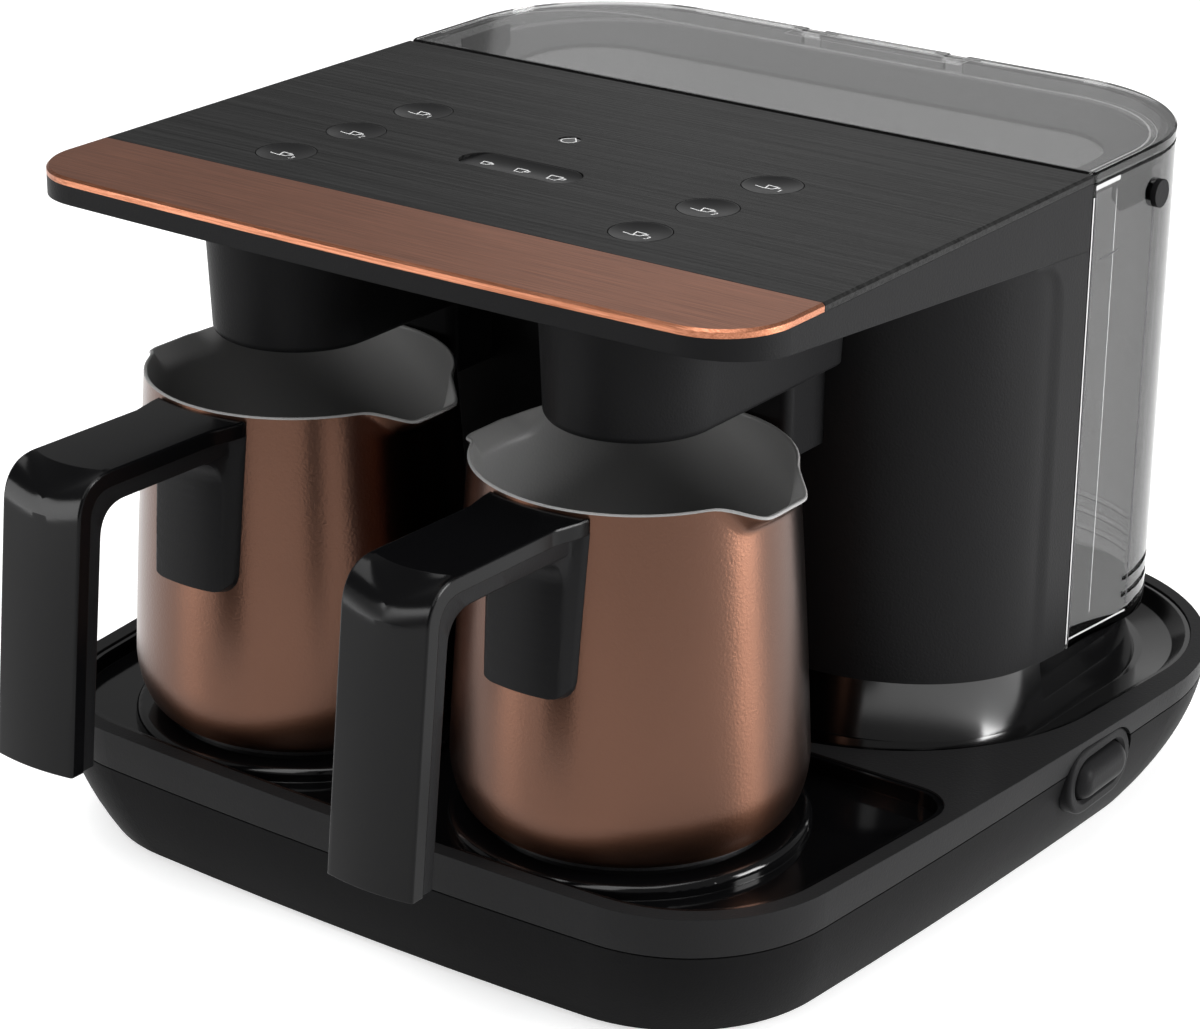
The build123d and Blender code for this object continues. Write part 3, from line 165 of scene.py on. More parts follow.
plastics = {
    "matteBlack": {"color": (0.0115, 0.0115, 0.012), "grain": (1500.0, 0.35), "gloss": 0.4, "shine": 0.04},
    # painted shade and light: the base pan takes a darker copy and the base rim a lighter copy of the matte
    # black
    "shadedPanBlack": {"color": (0.0085, 0.0085, 0.0088), "grain": (1500.0, 0.35), "gloss": 0.45, "shine": 0.02},
    "litRimBlack": {"color": (0.017, 0.017, 0.0175), "grain": (1500.0, 0.35), "gloss": 0.4, "shine": 0.05},
    "pumpBlack": {"color": (0.03, 0.03, 0.033), "grain": (900.0, 0.3), "gloss": 0.5},
    "glossBlack": {"color": (0.0025, 0.0025, 0.0028), "grain": (60.0, 0.01), "gloss": 0.1, "spread": 0.03,
                   "shine": 0.35},
    "handleBlack": {"color": (0.0025, 0.0025, 0.0028), "grain": (60.0, 0.01), "gloss": 0.17, "spread": 0.03,
                    "shine": 0.13},
    "linerBlack": {"color": (0.0085, 0.0085, 0.009), "grain": (1500.0, 0.3), "gloss": 0.42, "shine": 0.08},
    "plinthGloss": {"color": (0.002, 0.002, 0.0022), "grain": (60.0, 0.01), "gloss": 0.14, "spread": 0.03,
                    "shine": 0.6},
    # painted highlight: a light grey for ribbons that stand for bright edges and lines in the clear tank and
    # lid
    "paintedHighlightGrey": {"color": (0.45, 0.45, 0.45), "grain": (900.0, 0.1), "gloss": 0.3, "spread": 0.06},
    "printLight": {"color": (0.75, 0.75, 0.75), "grain": (1500.0, 0.1), "gloss": 0.5},
    "keyBlack": {"color": (0.005, 0.005, 0.0053), "grain": (600.0, 0.05), "gloss": 0.32, "spread": 0.06,
                 "shine": 0.2},
    "nonStick": {"color": (0.3, 0.298, 0.295), "grain": (1300.0, 0.35), "gloss": 0.42, "shine": 0.4},
    "rubberBlack": {"color": (0.02, 0.02, 0.02), "grain": (700.0, 0.4), "gloss": 0.75},
    "sealGrey": {"color": (0.35, 0.35, 0.35), "grain": (700.0, 0.2), "gloss": 0.6},
    "innerWhite": {"color": (0.7, 0.7, 0.68), "grain": (700.0, 0.1), "gloss": 0.45},
    "hoseClear": {"color": (0.65, 0.65, 0.62), "grain": (700.0, 0.1), "gloss": 0.4},
    "boardGreen": {"color": (0.02, 0.12, 0.05), "grain": (400.0, 0.1), "gloss": 0.35},
}
brushedMetals = {
    "copperStrip": {"dark": (0.27, 0.10, 0.052), "light": (0.52, 0.22, 0.13), "scale": 2200.0,
                    "depth": 0.3, "gloss": 0.34, "metallic": 1.0},
    "panelBlack": {"dark": (0.003, 0.003, 0.003), "light": (0.022, 0.022, 0.022), "scale": 900.0,
                   "depth": 0.6, "gloss": 0.34, "metallic": 0.0, "shine": 0.07},
    "steel": {"dark": (0.35, 0.35, 0.35), "light": (0.6, 0.6, 0.6), "scale": 2000.0,
              "depth": 0.2, "gloss": 0.35, "metallic": 1.0},
    "darkSteel": {"dark": (0.03, 0.03, 0.032), "light": (0.06, 0.06, 0.062), "scale": 2000.0,
                  "depth": 0.2, "gloss": 0.4, "metallic": 0.6},
}
clears = {
    "smokedClear": {"color": (0.93, 0.93, 0.93), "gloss": 0.03, "ior": 1.35, "smoke": 400.0},
    "smokedLid": {"color": (0.93, 0.93, 0.93), "gloss": 0.06, "ior": 1.35, "smoke": 135.0},
    # painted shade: a dark see-through sheet under the lid
    "paintedShadeClear": {"color": (0.015, 0.015, 0.015), "gloss": 0.3, "ior": 1.1, "smoke": 0.0, "alpha": 0.5},
    "clearLens": {"color": (0.75, 0.78, 0.8), "gloss": 0.05, "ior": 1.45, "smoke": 0.0},
}
materials = {}


def newMaterial(name):
    material = bpy.data.materials.new(name)
    material.use_nodes = True
    materials[name] = material
    return material.node_tree, material.node_tree.nodes["Principled BSDF"]


def placeGroup(tree, surface, group, values, *driven):
    # the group's outputs drive the surface's sockets of the same names
    node = tree.nodes.new("ShaderNodeGroup")
    node.node_tree = group
    for key, value in values.items():
        node.inputs[key].default_value = value
    for name in driven:
        tree.links.new(node.outputs[name], surface.inputs[name])
    return node


def makePlastic(name, spec):
    tree, surface = newMaterial(name)
    scale, depth = spec["grain"]
    surface.inputs["Base Color"].default_value = (*spec["color"], 1.0)
    surface.inputs["Specular IOR Level"].default_value = spec.get("shine", 0.5)
    values = {"Scale": scale, "Depth": depth, "Gloss": spec["gloss"], "Spread": spec.get("spread", 0.1)}
    placeGroup(tree, surface, mouldGrain, values, "Roughness", "Normal")


def makeBrushed(name, spec):
    tree, surface = newMaterial(name)
    surface.inputs["Metallic"].default_value = spec["metallic"]
    surface.inputs["Specular IOR Level"].default_value = spec.get("shine", 0.5)
    values = {"Scale": spec["scale"], "Depth": spec["depth"], "Gloss": spec["gloss"],
              "Dark": (*spec["dark"], 1.0), "Light": (*spec["light"], 1.0)}
    lines = placeGroup(tree, surface, brushedLines, values, "Roughness", "Normal")
    tree.links.new(lines.outputs["Color"], surface.inputs["Base Color"])


def makeClear(name, spec):
    tree, surface = newMaterial(name)
    surface.inputs["Base Color"].default_value = (*spec["color"], 1.0)
    surface.inputs["Transmission Weight"].default_value = 0.0 if "alpha" in spec else 1.0
    surface.inputs["Alpha"].default_value = spec.get("alpha", 1.0)
    surface.inputs["IOR"].default_value = spec["ior"]
    values = {"Scale": 40.0, "Depth": 0.01, "Gloss": spec["gloss"], "Spread": 0.02}
    placeGroup(tree, surface, mouldGrain, values, "Roughness")
    if spec["smoke"]:
        # the tint grows with the depth of plastic that light crosses
        smoke = addNode(tree, "ShaderNodeVolumeAbsorption")
        smoke.inputs["Color"].default_value = (0.0, 0.0, 0.0, 1.0)
        smoke.inputs["Density"].default_value = spec["smoke"]
        tree.links.new(smoke.outputs["Volume"], tree.nodes["Material Output"].inputs["Volume"])


copperLook = {
    "dark": (0.092, 0.0405, 0.0236, 1.0), "light": (0.122, 0.054, 0.0318, 1.0),
    "grain": {"Scale": 1300.0, "Depth": 0.3, "Gloss": 0.3, "Spread": 0.06},
    "coat": 0.36, "coatGloss": 0.3, "stretch": 0.85, "turn": 0.25,
}


def makeCopperPot():
    look = copperLook
    tree, surface = newMaterial("copperPot")
    surface.inputs["Metallic"].default_value = 1.0
    # fine turning lines draw the highlights upright
    surface.inputs["Anisotropic"].default_value = look["stretch"]
    surface.inputs["Anisotropic Rotation"].default_value = look["turn"]
    around = addNode(tree, "ShaderNodeTangent", direction_type="RADIAL", axis="Z")
    tree.links.new(around.outputs["Tangent"], surface.inputs["Tangent"])
    surface.inputs["Coat Weight"].default_value = look["coat"]
    surface.inputs["Coat Roughness"].default_value = look["coatGloss"]
    grain = placeGroup(tree, surface, mouldGrain, look["grain"], "Roughness", "Normal")
    tint = addNode(tree, "ShaderNodeMix", data_type="RGBA")
    tint.inputs["A"].default_value = look["dark"]
    tint.inputs["B"].default_value = look["light"]
    tree.links.new(grain.outputs["Cloud"], tint.inputs["Factor"])
    tree.links.new(tint.outputs["Result"], surface.inputs["Base Color"])


for finish, spec in plastics.items():
    makePlastic(finish, spec)
for finish, spec in brushedMetals.items():
    makeBrushed(finish, spec)
for finish, spec in clears.items():
    makeClear(finish, spec)
makeCopperPot()
print("materials made:", len(materials))


# finishes of the CAD nodes, by the record's material slot

slotFinish = {
    "matte_black": "matteBlack", "gloss_black": "glossBlack", "panel_black": "panelBlack",
    "copper_trim": "copperStrip", "copper_pot": "copperPot", "handle_gloss": "handleBlack",
    "handle_matte": "linerBlack", "key_black": "keyBlack", "clear_lens": "clearLens",
    "smoked_clear": "smokedClear", "smoked_lid": "smokedLid", "steel": "steel", "dark_steel": "darkSteel",
    "coil_steel": "steel", "board_green": "boardGreen", "inner_white": "innerWhite",
    "rubber_black": "rubberBlack", "seal_grey": "sealGrey", "hose_clear": "hoseClear",
    "pump_black": "pumpBlack",
}
# the base pan gets a darker copy of the matte black as painted shade, the base rim a lighter copy as painted
# light
nodeFinish = {  # nodes whose finish differs from their slot's
    "rear_plinth": "plinthGloss", "base_pan": "shadedPanBlack", "base_rim": "litRimBlack",
}


def dressNodes():
    for part in frame["record"]["subparts"]:
        node = nodes[part["node"]]
        finish = materials[nodeFinish.get(part["node"], slotFinish[part["material_slot"]])]
        if not node.material_slots:
            node.data.materials.append(finish)
        for place in node.material_slots:
            place.material = finish


dressNodes()
print("CAD nodes dressed")


# own pieces: built in mm, with Y = 0 at the pots' axes and Z = 0 at the table

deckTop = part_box("pot_left")[0].z / mm
potMiddleX = {}
for side in ("left", "right"):
    potMiddleX[side] = sum(corner.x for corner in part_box("pot_" + side)) / 2 / mm


def mix(a, b, t):
    return a + (b - a) * t


def smoothStep(t):
    t = min(max(t, 0.0), 1.0)
    return t * t * (3 - 2 * t)


def curvePoint(start, control, end, t):
    # quadratic curve through start and end, pulled to the control point
    return tuple((1 - t) ** 2 * a + 2 * t * (1 - t) * b + t * t * c for a, b, c in zip(start, control, end))


def gridFaces(rows, columns, closed=False, first=0):
    faces = []
    for row in range(rows - 1):
        for column in range(columns if closed else columns - 1):
            beside = (column + 1) % columns
            low, high = first + row * columns, first + (row + 1) * columns
            faces.append((low + column, low + beside, high + beside, high + column))
    return faces


def finishPiece(name, points, faces, finish, body, replaced=(), sharp=32.0, weld=0.01):
    shape = bmesh.new()
    corners = [shape.verts.new(point) for point in points]
    for face in faces:
        shape.faces.new([corners[index] for index in face])
    bmesh.ops.remove_doubles(shape, verts=shape.verts, dist=weld)
    bmesh.ops.dissolve_degenerate(shape, edges=shape.edges, dist=0.0005)
    bmesh.ops.recalc_face_normals(shape, faces=shape.faces)
    mesh = bpy.data.meshes.new(name)
    shape.to_mesh(mesh)
    shape.free()
    mesh.transform(toRow)
    mesh.shade_smooth()
    mesh.set_sharp_from_angle(angle=math.radians(sharp))
    mesh.materials.append(materials[finish])
    piece = bpy.data.objects.new(name, mesh)
    bpy.context.scene.collection.objects.link(piece)
    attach(piece, body)
    if replaced:
        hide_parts(*replaced)
    return piece


# pots: a satin copper skin with two pressed lips, and a dark lining that wraps the rim

potShape = {
    "foot": 39.0, "belly": 47.5, "bellyHeight": 16.0, "rim": 42.3, "height": 97.2, "lean": 0.074,
    "bellyLean": 0.045, "wall": 1.1, "floor": 2.4, "bead": 0.5,
    "lipReach": 5.0, "lipHalf": 9.6, "lipDip": 3.8, "lipDepth": 7.6, "lipAngle": 14.0, "lipEnd": 25.0,
    "foldGap": 0.3,  # the wall's last ring lies this far or more under the lip's fold
    "relax": {"rounds": 9, "pull": 0.5, "reach": 34.0, "fade": 8.0, "rows": 34},  # reach and fade in degrees
    "footRings": (4, 12, 20, 28, 35), "heelSteps": 26, "wallSteps": 90,
    "columns": 288, "wallRows": 70, "lipRows": 26, "lipPitch": 0.55, "beadSteps": 4,
}


def hermite(start, end, startSlope, endSlope, t):
    # cubic curve that leaves start and reaches end along the two slopes
    a, b = 2 * t**3 - 3 * t**2 + 1, t**3 - 2 * t**2 + t
    c, d = -2 * t**3 + 3 * t**2, t**3 - t**2
    return tuple(a * p + b * u + c * q + d * v for p, q, u, v in zip(start, end, startSlope, endSlope))


def potProfile():
    # radius and height from the foot's middle to the rim
    foot, belly = (potShape["foot"], 0.0), (potShape["belly"], potShape["bellyHeight"])
    rim = (potShape["rim"], potShape["height"])
    reach, rise = math.dist(foot, belly), math.dist(belly, rim)
    leaving = (-potShape["bellyLean"] * rise, rise)
    arriving = (-potShape["lean"] * rise, rise)
    heel, wall = potShape["heelSteps"], potShape["wallSteps"]
    line = [(radius, 0.0) for radius in potShape["footRings"]]
    line += [hermite(foot, belly, (reach, 0), (0, reach), step / heel) for step in range(heel)]
    line += [hermite(belly, rim, leaving, arriving, step / wall) for step in range(wall + 1)]
    return line


potLine = potProfile()


def turnFromLip(turn):
    # degrees from the middle of the nearer lip: one lies at 0 and one at 180
    return (turn + 90) % 180 - 90


def onWall(radius, turn, height):
    return radius * math.cos(math.radians(turn)), radius * math.sin(math.radians(turn)), height


def lipFold(turn):
    # for a turn away from the lip's middle in degrees: where the fold starts, and the edge's place
    half, end = potShape["lipAngle"], potShape["lipEnd"]
    away = min(abs(turn), end)
    reach = potShape["rim"] + potShape["lipReach"]
    endX, endY, top = onWall(potShape["rim"], end, potShape["height"])
    if away <= half:
        edge = (reach, potShape["lipHalf"] * away / half, top - potShape["lipDip"])
        fold = top - potShape["lipDepth"]
    else:
        share = (away - half) / (end - half)
        edge = (mix(reach, endX, share), mix(potShape["lipHalf"], endY, share),
                top - potShape["lipDip"] * (1 - share))
        fold = top - potShape["lipDepth"] * (1 - share)
    return fold, (edge[0], math.copysign(edge[1], turn), edge[2])


def resample(line, gaps):
    # points at the given distances from the line's end, the rest spread evenly down to its start
    lengths = [0.0]
    for before, after in zip(line, line[1:]):
        lengths.append(lengths[-1] + math.dist(before, after))
    total, last, rows = lengths[-1], gaps[-1], potShape["wallRows"]
    stops = [(total - last) * step / rows for step in range(rows)]
    stops += [total - gap for gap in reversed(gaps)]
    found, index = [], 0
    for stop in stops:
        while index < len(lengths) - 2 and lengths[index + 1] < stop:
            index += 1
        span = max(lengths[index + 1] - lengths[index], 1e-9)
        share = min(max((stop - lengths[index]) / span, 0.0), 1.0)
        found.append(tuple(mix(a, b, share) for a, b in zip(line[index], line[index + 1])))
    return found


def potSkin():
    gaps = [step * potShape["lipPitch"] for step in range(potShape["lipRows"])]
    columns = []
    for index in range(potShape["columns"]):
        turn = index * 360 / potShape["columns"]
        fromLip = turnFromLip(turn)
        side = 1 if math.cos(math.radians(turn)) > 0 else -1
        fold, edge = lipFold(fromLip)
        stop = fold - potShape["foldGap"]
        wall = [onWall(radius, turn, height) for radius, height in potLine if height < stop]
        if abs(fromLip) < potShape["lipEnd"]:
            # the fold's own line at this turn, then the flat lip out to its edge
            radius = next(radius for radius, height in potLine if height >= stop)
            wall.append(onWall(radius, turn, fold))
            wall.append((side * edge[0], side * edge[1], edge[2]))
        else:
            wall.append(onWall(potShape["rim"], turn, potShape["height"]))
        columns.append(resample(wall, gaps))
    return columns


def relaxLips(columns):
    # rounds the lip's folds as pressed sheet would
    relax = potShape["relax"]
    count, rows = len(columns), len(columns[0])
    for _ in range(relax["rounds"]):
        fresh = [list(column) for column in columns]
        for index in range(count):
            fromLip = abs(turnFromLip(index * 360 / count))
            pull = relax["pull"] * smoothStep((relax["reach"] - fromLip) / relax["fade"])
            if pull <= 0:
                continue
            before, here, after = columns[index - 1], columns[index], columns[(index + 1) % count]
            for row in range(rows - relax["rows"], rows):
                near = [before[row], after[row]]
                if row < rows - 1:
                    near += [here[row - 1], here[row + 1]]
                middle = [sum(point[axis] for point in near) / len(near) for axis in range(3)]
                fresh[index][row] = tuple(mix(a, b, pull) for a, b in zip(here[row], middle))
        columns = fresh
    return columns


def innerSkin(columns):
    # the same grid, moved in by the wall
    count, rows = len(columns), len(columns[0])
    moved = []
    for index in range(count):
        line = []
        for row in range(rows):
            here = Vector(columns[index][row])
            along = Vector(columns[index][min(row + 1, rows - 1)]) - Vector(columns[index][max(row - 1, 0)])
            across = Vector(columns[(index + 1) % count][row]) - Vector(columns[index - 1][row])
            outward = across.cross(along)
            outward.normalize()
            point = here - outward * potShape["wall"]
            point.z = max(point.z, potShape["floor"])
            line.append(point)
        moved.append(line)
    return moved


def beadRing(outer, inner, share):
    # one ring of the bead over the rim, from the inside at 0 to the outside at 1
    ring = []
    for outerColumn, innerColumn in zip(outer, inner):
        inside, outside = innerColumn[-1], Vector(outerColumn[-1])
        up = (outside - Vector(outerColumn[-3])).normalized()
        lift = math.sin(math.pi * share) * potShape["bead"]
        ring.append(inside.lerp(outside, share) + up * lift)
    return ring


def makePots():
    outer = relaxLips(potSkin())
    inner = innerSkin(outer)
    rows, beadSteps = len(outer[0]), potShape["beadSteps"]
    skinRings = [[Vector(column[row]) for column in outer] for row in range(rows)]
    liningRings = [[column[row] for column in inner] for row in range(rows)]
    liningRings += [beadRing(outer, inner, step / (beadSteps + 1)) for step in range(1, beadSteps + 1)]
    liningRings.append(skinRings[-1])
    for side, middleX in potMiddleX.items():
        middle, body = Vector((middleX, 0, deckTop)), "pot_" + side
        for name, rings, finish, slot in (("potSkin_", skinRings, "copperPot", "copper_pot"),
                                          ("potLining_", liningRings, "nonStick", "handle_matte")):
            points = [point + middle for ring in rings for point in ring]
            faces = gridFaces(len(rings), len(outer), closed=True) + [tuple(range(len(outer)))]
            finishPiece(name + side, points, faces, finish, body, [body], 60.0)


makePots()
print("pots made")


# handles: a gloss grip with a faceted bend on a matte liner that runs into the shield

gripShape = {  # places as (Y, Z), with Z from the pot's foot
    "half": 13.2, "rootHalf": 15.3, "flareStart": -51.0, "rootRadius": 42.9, "topRoot": (-42.0, 96.4),
    "crown": 0.25, "foldTop": {"middle": (-92.3, 97.5), "edge": (-90.3, 97.3)}, "foldFront": (-99.6, 90.2),
    "frontStart": {"middle": (-101.2, 86.6), "edge": (-101.0, 83.0)},
    "foot": {"middle": (-109.1, 19.0), "edge": (-107.9, 19.0)},
    "depth": 4.3, "linerDepth": 4.9, "linerHalf": 12.5, "edge": 0.55, "edgeShare": 0.3,
    "bendRadius": {"edge": 10.8, "inner": 7.5, "liner": 8.5},
    "steps": {"top": 26, "bend": 7, "fold": 12, "front": 34}, "across": 28,
    "power": {"top": 2.2, "bend": 1.0, "front": 2.0, "fade": 10},  # 1 is a ridge, more is rounder
}


def straight(start, end, count):
    return [tuple(mix(a, b, step / count) for a, b in zip(start, end)) for step in range(count)]


def gripLines():
    # side lines of the grip, each as (Y, Z): its middle, its edges, its back and the liner's back
    shape, steps = gripShape, gripShape["steps"]
    top, fold, start, foot = shape["foldTop"], shape["foldFront"], shape["frontStart"], shape["foot"]
    rootY, rootZ = shape["topRoot"]
    lines = {"middle": (straight((rootY, rootZ + shape["crown"]), top["middle"], steps["top"])
                        + straight(top["middle"], fold, steps["bend"])
                        + straight(fold, start["middle"], steps["fold"])
                        + straight(start["middle"], foot["middle"], steps["front"]) + [foot["middle"]])}
    bendSteps = steps["bend"] + steps["fold"]
    inwards = {"edge": 0.0, "inner": shape["depth"], "liner": shape["depth"] + shape["linerDepth"]}
    for name, inward in inwards.items():
        radius = shape["bendRadius"][name]
        frontTop = (start["edge"][0] + inward, start["edge"][1])
        frontFoot = (foot["edge"][0] + inward, foot["edge"][1])
        rootLevel, level = rootZ - inward, top["edge"][1] - inward
        slope = (frontFoot[0] - frontTop[0]) / (frontFoot[1] - frontTop[1])
        meet = (frontTop[0] + slope * (level - frontTop[1]), level)
        bendStart = (meet[0] + radius, level)
        bendEnd = (meet[0] - slope * radius, level - radius)
        lines[name] = (straight((rootY, rootLevel), bendStart, steps["top"])
                       + [curvePoint(bendStart, meet, bendEnd, step / bendSteps) for step in range(bendSteps)]
                       + straight(bendEnd, frontFoot, steps["front"]) + [frontFoot])
    return lines


def gripPower(index):
    # how round the grip's face is at this ring: rounded on top, ridged at the bend, rounded down the front
    steps, power = gripShape["steps"], gripShape["power"]
    beyondTop = index - steps["top"]
    if beyondTop <= 0:
        return power["top"]
    if beyondTop <= steps["bend"]:
        return mix(power["top"], power["bend"], beyondTop / steps["bend"])
    share = (beyondTop - steps["bend"]) / (steps["fold"] + power["fade"])
    return mix(power["bend"], power["front"], smoothStep(share))


def gripRings(lines, middleX):
    shape, count = gripShape, gripShape["across"]
    rings = []
    for index in range(len(lines["edge"])):
        edge, middle, inner = lines["edge"][index], lines["middle"][index], lines["inner"][index]
        half = shape["half"]
        if edge[0] > shape["flareStart"]:
            share = (edge[0] - shape["flareStart"]) / (shape["topRoot"][0] - shape["flareStart"])
            half = mix(half, shape["rootHalf"], share)
        ring = []
        for step in range(count + 1):
            place = -1 + 2 * step / count
            weight = abs(place) ** gripPower(index)
            y, z = (mix(middle[axis], edge[axis], weight) for axis in (0, 1))
            ring.append(Vector((middleX + place * (half - shape["edge"]), y, z)))
        # the rounded long edge, the gloss side and the hidden back
        rim, back = Vector((0, *edge)), Vector((0, *inner))
        direction = Vector((0, inner[0] - edge[0], inner[1] - edge[1])).normalized()
        nearRim = rim + direction * shape["edge"] * shape["edgeShare"]
        sideLine = [(half - shape["edge"] * shape["edgeShare"], nearRim),
                    (half, rim + direction * shape["edge"]), (half, rim.lerp(back, 0.5)), (half, back)]
        right = [point + Vector((middleX + reach, 0, 0)) for reach, point in sideLine]
        left = [point + Vector((middleX - reach, 0, 0)) for reach, point in reversed(sideLine)]
        rings.append(ring + right + left)
    # the first ring follows the pot's round wall
    for point in rings[0]:
        point.y = -math.sqrt(shape["rootRadius"] ** 2 - (point.x - middleX) ** 2)
    return rings


def capped(rows, count):
    # faces of a tube of rings with a cap at both ends
    last = (rows - 1) * count
    caps = [tuple(range(count)), tuple(reversed(range(last, last + count)))]
    return gridFaces(rows, count, closed=True) + caps


def makeGrips():
    lines = gripLines()
    for side, middleX in potMiddleX.items():
        rings = gripRings(lines, middleX)
        points = [point + Vector((0, 0, deckTop)) for ring in rings for point in ring]
        finishPiece("grip_" + side, points, capped(len(rings), len(rings[0])), "handleBlack", "pot_" + side,
                    ["handle_" + side], 14.0)
        makeLiner(side, middleX, lines)


linerShape = {
    "shieldTop": 92.6, "shieldLow": 48.0, "thick": 3.5, "halfTop": 15.4, "halfLow": 14.0, "ridge": 11.6,
    "edgeThick": 1.0, "rimThick": 0.15, "corner": 5.5, "web": 9.0, "webFade": 1.2,
    "blunt": 0.8, "bluntShare": 0.3, "columns": 60, "rows": 64, "rowPower": 0.9,
}


def potRadius(height):
    wallLine = potLine[len(potShape["footRings"]):]
    return min(wallLine, key=lambda point: abs(point[1] - height))[0]


def shieldPoint(place, row, level):
    # place runs from -1 to 1 across the shield, and row from 0 at its lower edge up
    shape, half = linerShape, gripShape["linerHalf"]
    low, top = shape["shieldLow"], shape["shieldTop"]
    spare = max(abs(place) * shape["halfLow"] - (shape["halfLow"] - shape["corner"]), 0.0)
    edge = low + shape["corner"] - math.sqrt(max(shape["corner"] ** 2 - spare**2, 0.0))
    z = mix(edge, top, (row / shape["rows"]) ** shape["rowPower"])
    width = mix(shape["halfLow"], shape["halfTop"], (z - low) / (top - low))
    x = place * width
    beyond = max(abs(x) - shape["ridge"], 0.0) / (width - shape["ridge"])
    thick = mix(shape["thick"], shape["edgeThick"], beyond)
    if abs(place) == 1 or row == 0:
        thick = shape["rimThick"]
    below, web = level - z, 0.0
    if below < shape["web"]:
        # a rounded web fills the corner under the liner's strip
        rest = max(below, 0.0)
        web = shape["web"] - math.sqrt(shape["web"] ** 2 - (shape["web"] - rest) ** 2)
        web *= 1 - smoothStep((abs(x) - half + shape["webFade"]) / shape["webFade"])
    y = -math.sqrt(max(potRadius(z) ** 2 - x * x, 0.0)) - thick - web
    return x, y, z


def makeLiner(side, middleX, lines):
    half, blunt, share = gripShape["linerHalf"], linerShape["blunt"], linerShape["bluntShare"]
    points = []
    # the strip behind the grip: a ring of eight points along it
    for front, back in zip(lines["inner"], lines["liner"]):
        a, b = Vector((0, *front)), Vector((0, *back))
        inward = (b - a).normalized()
        flank, corner = b - inward * blunt, b - inward * blunt * share
        ring = ((half, a), (half, flank), (half - blunt * share, corner), (half - blunt, b),
                (-half + blunt, b), (-half + blunt * share, corner), (-half, flank), (-half, a))
        points += [point + Vector((middleX + reach, 0, deckTop)) for reach, point in ring]
    faces = capped(len(lines["inner"]), 8)
    first, level = len(points), lines["liner"][0][1]
    columns, rows = linerShape["columns"], linerShape["rows"]
    for row in range(rows + 1):
        for column in range(columns + 1):
            x, y, z = shieldPoint(-1 + 2 * column / columns, row, level)
            points.append(Vector((middleX + x, y, z + deckTop)))
    faces += gridFaces(rows + 1, columns + 1, first=first)
    finishPiece("handleLiner_" + side, points, faces, "linerBlack", "pot_" + side,
                ["handle_liner_" + side], 28.0)


makeGrips()
print("handles made")


# marks printed on the keys: cup outlines and plain numbers, laid on the dished caps

markShape = {
    "stroke": 0.36, "pitch": 0.35, "proud": 0.03,
    "dishRadius": 8.2, "dish": 0.9, "barHalf": 6.3, "barDish": 0.9,
    "cup": (-0.6, 0.4, 1.55), "digit": (3.0, -1.3, 1.0),  # X and Y from the key's middle, and size
    "barCups": ((-11.6, 1.45), (0.0, 1.75), (11.2, 2.1)),  # X from the bar's middle, and size
    "dropSize": 2.3, "dropStroke": 0.32,
}
cupOutline = [(-1.0, 0.75), (-0.72, -0.75), (0.62, -0.75), (0.92, 0.75), (-1.0, 0.75)]
cupEar = [(0.86, 0.45), (1.5, 0.45), (1.42, -0.05), (0.76, -0.2)]
saucer = [(-2.6, -1.0), (-0.4, -1.0)]
dropOutline = [(0.0, 1.25), (0.6, 0.55), (0.98, 0.05), (0.9, -0.5), (0.5, -0.88), (0.0, -1.0), (-0.5, -0.88),
               (-0.9, -0.5), (-0.98, 0.05), (-0.6, 0.55), (0.0, 1.25)]
digits = {
    "1": [[(-0.3, 0.6), (0.1, 1.0), (0.1, -1.0)]],
    "2": [[(-0.5, 0.6), (-0.3, 0.95), (0.3, 0.95), (0.5, 0.6), (0.45, 0.2), (-0.5, -1.0), (0.55, -1.0)]],
    "3": [[(-0.5, 0.85), (0.0, 1.0), (0.45, 0.75), (0.4, 0.2), (-0.05, 0.05), (0.45, -0.15), (0.5, -0.7),
           (0.0, -1.0), (-0.55, -0.85)]],
}


def strokeMesh(lines, surface, width, points, faces):
    # each line becomes a flat ribbon that follows the surface
    for line in lines:
        steps = []
        for start, end in zip(line, line[1:]):
            count = max(int(math.dist(start, end) / markShape["pitch"]), 1)
            steps += straight(start, end, count)
        steps.append(line[-1])
        first = len(points)
        for index, here in enumerate(steps):
            before, after = steps[max(index - 1, 0)], steps[min(index + 1, len(steps) - 1)]
            along = Vector((after[0] - before[0], after[1] - before[1]))
            across = Vector((-along.y, along.x)).normalized() * width / 2
            for sign in (-1, 1):
                x, y = here[0] + across.x * sign, here[1] + across.y * sign
                points.append(Vector((x, y, surface(x, y))))
        faces += gridFaces(len(steps), 2, first=first)


def placed(lines, x, y, size):
    return [[(x + px * size, y + py * size) for px, py in line] for line in lines]


def nodeMiddle(name):
    low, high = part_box(name)
    return (low.x + high.x) / 2 / mm, ((low.y + high.y) / 2 - potAxisY) / mm


def dishedFace(top, radius, depth, awaySquared):
    # gives the height of a mark on a key's dish, by how far it lies from the deepest place
    ball = (radius**2 + depth**2) / (2 * depth)
    return lambda px, py: (top - depth + ball - math.sqrt(max(ball**2 - awaySquared(px, py), 0.0))
                           + markShape["proud"])


def printMark(name, lines, surface, stroke, body):
    points, faces = [], []
    strokeMesh(lines, surface, stroke, points, faces)
    finishPiece(name, points, faces, "printLight", body, weld=0.0001)


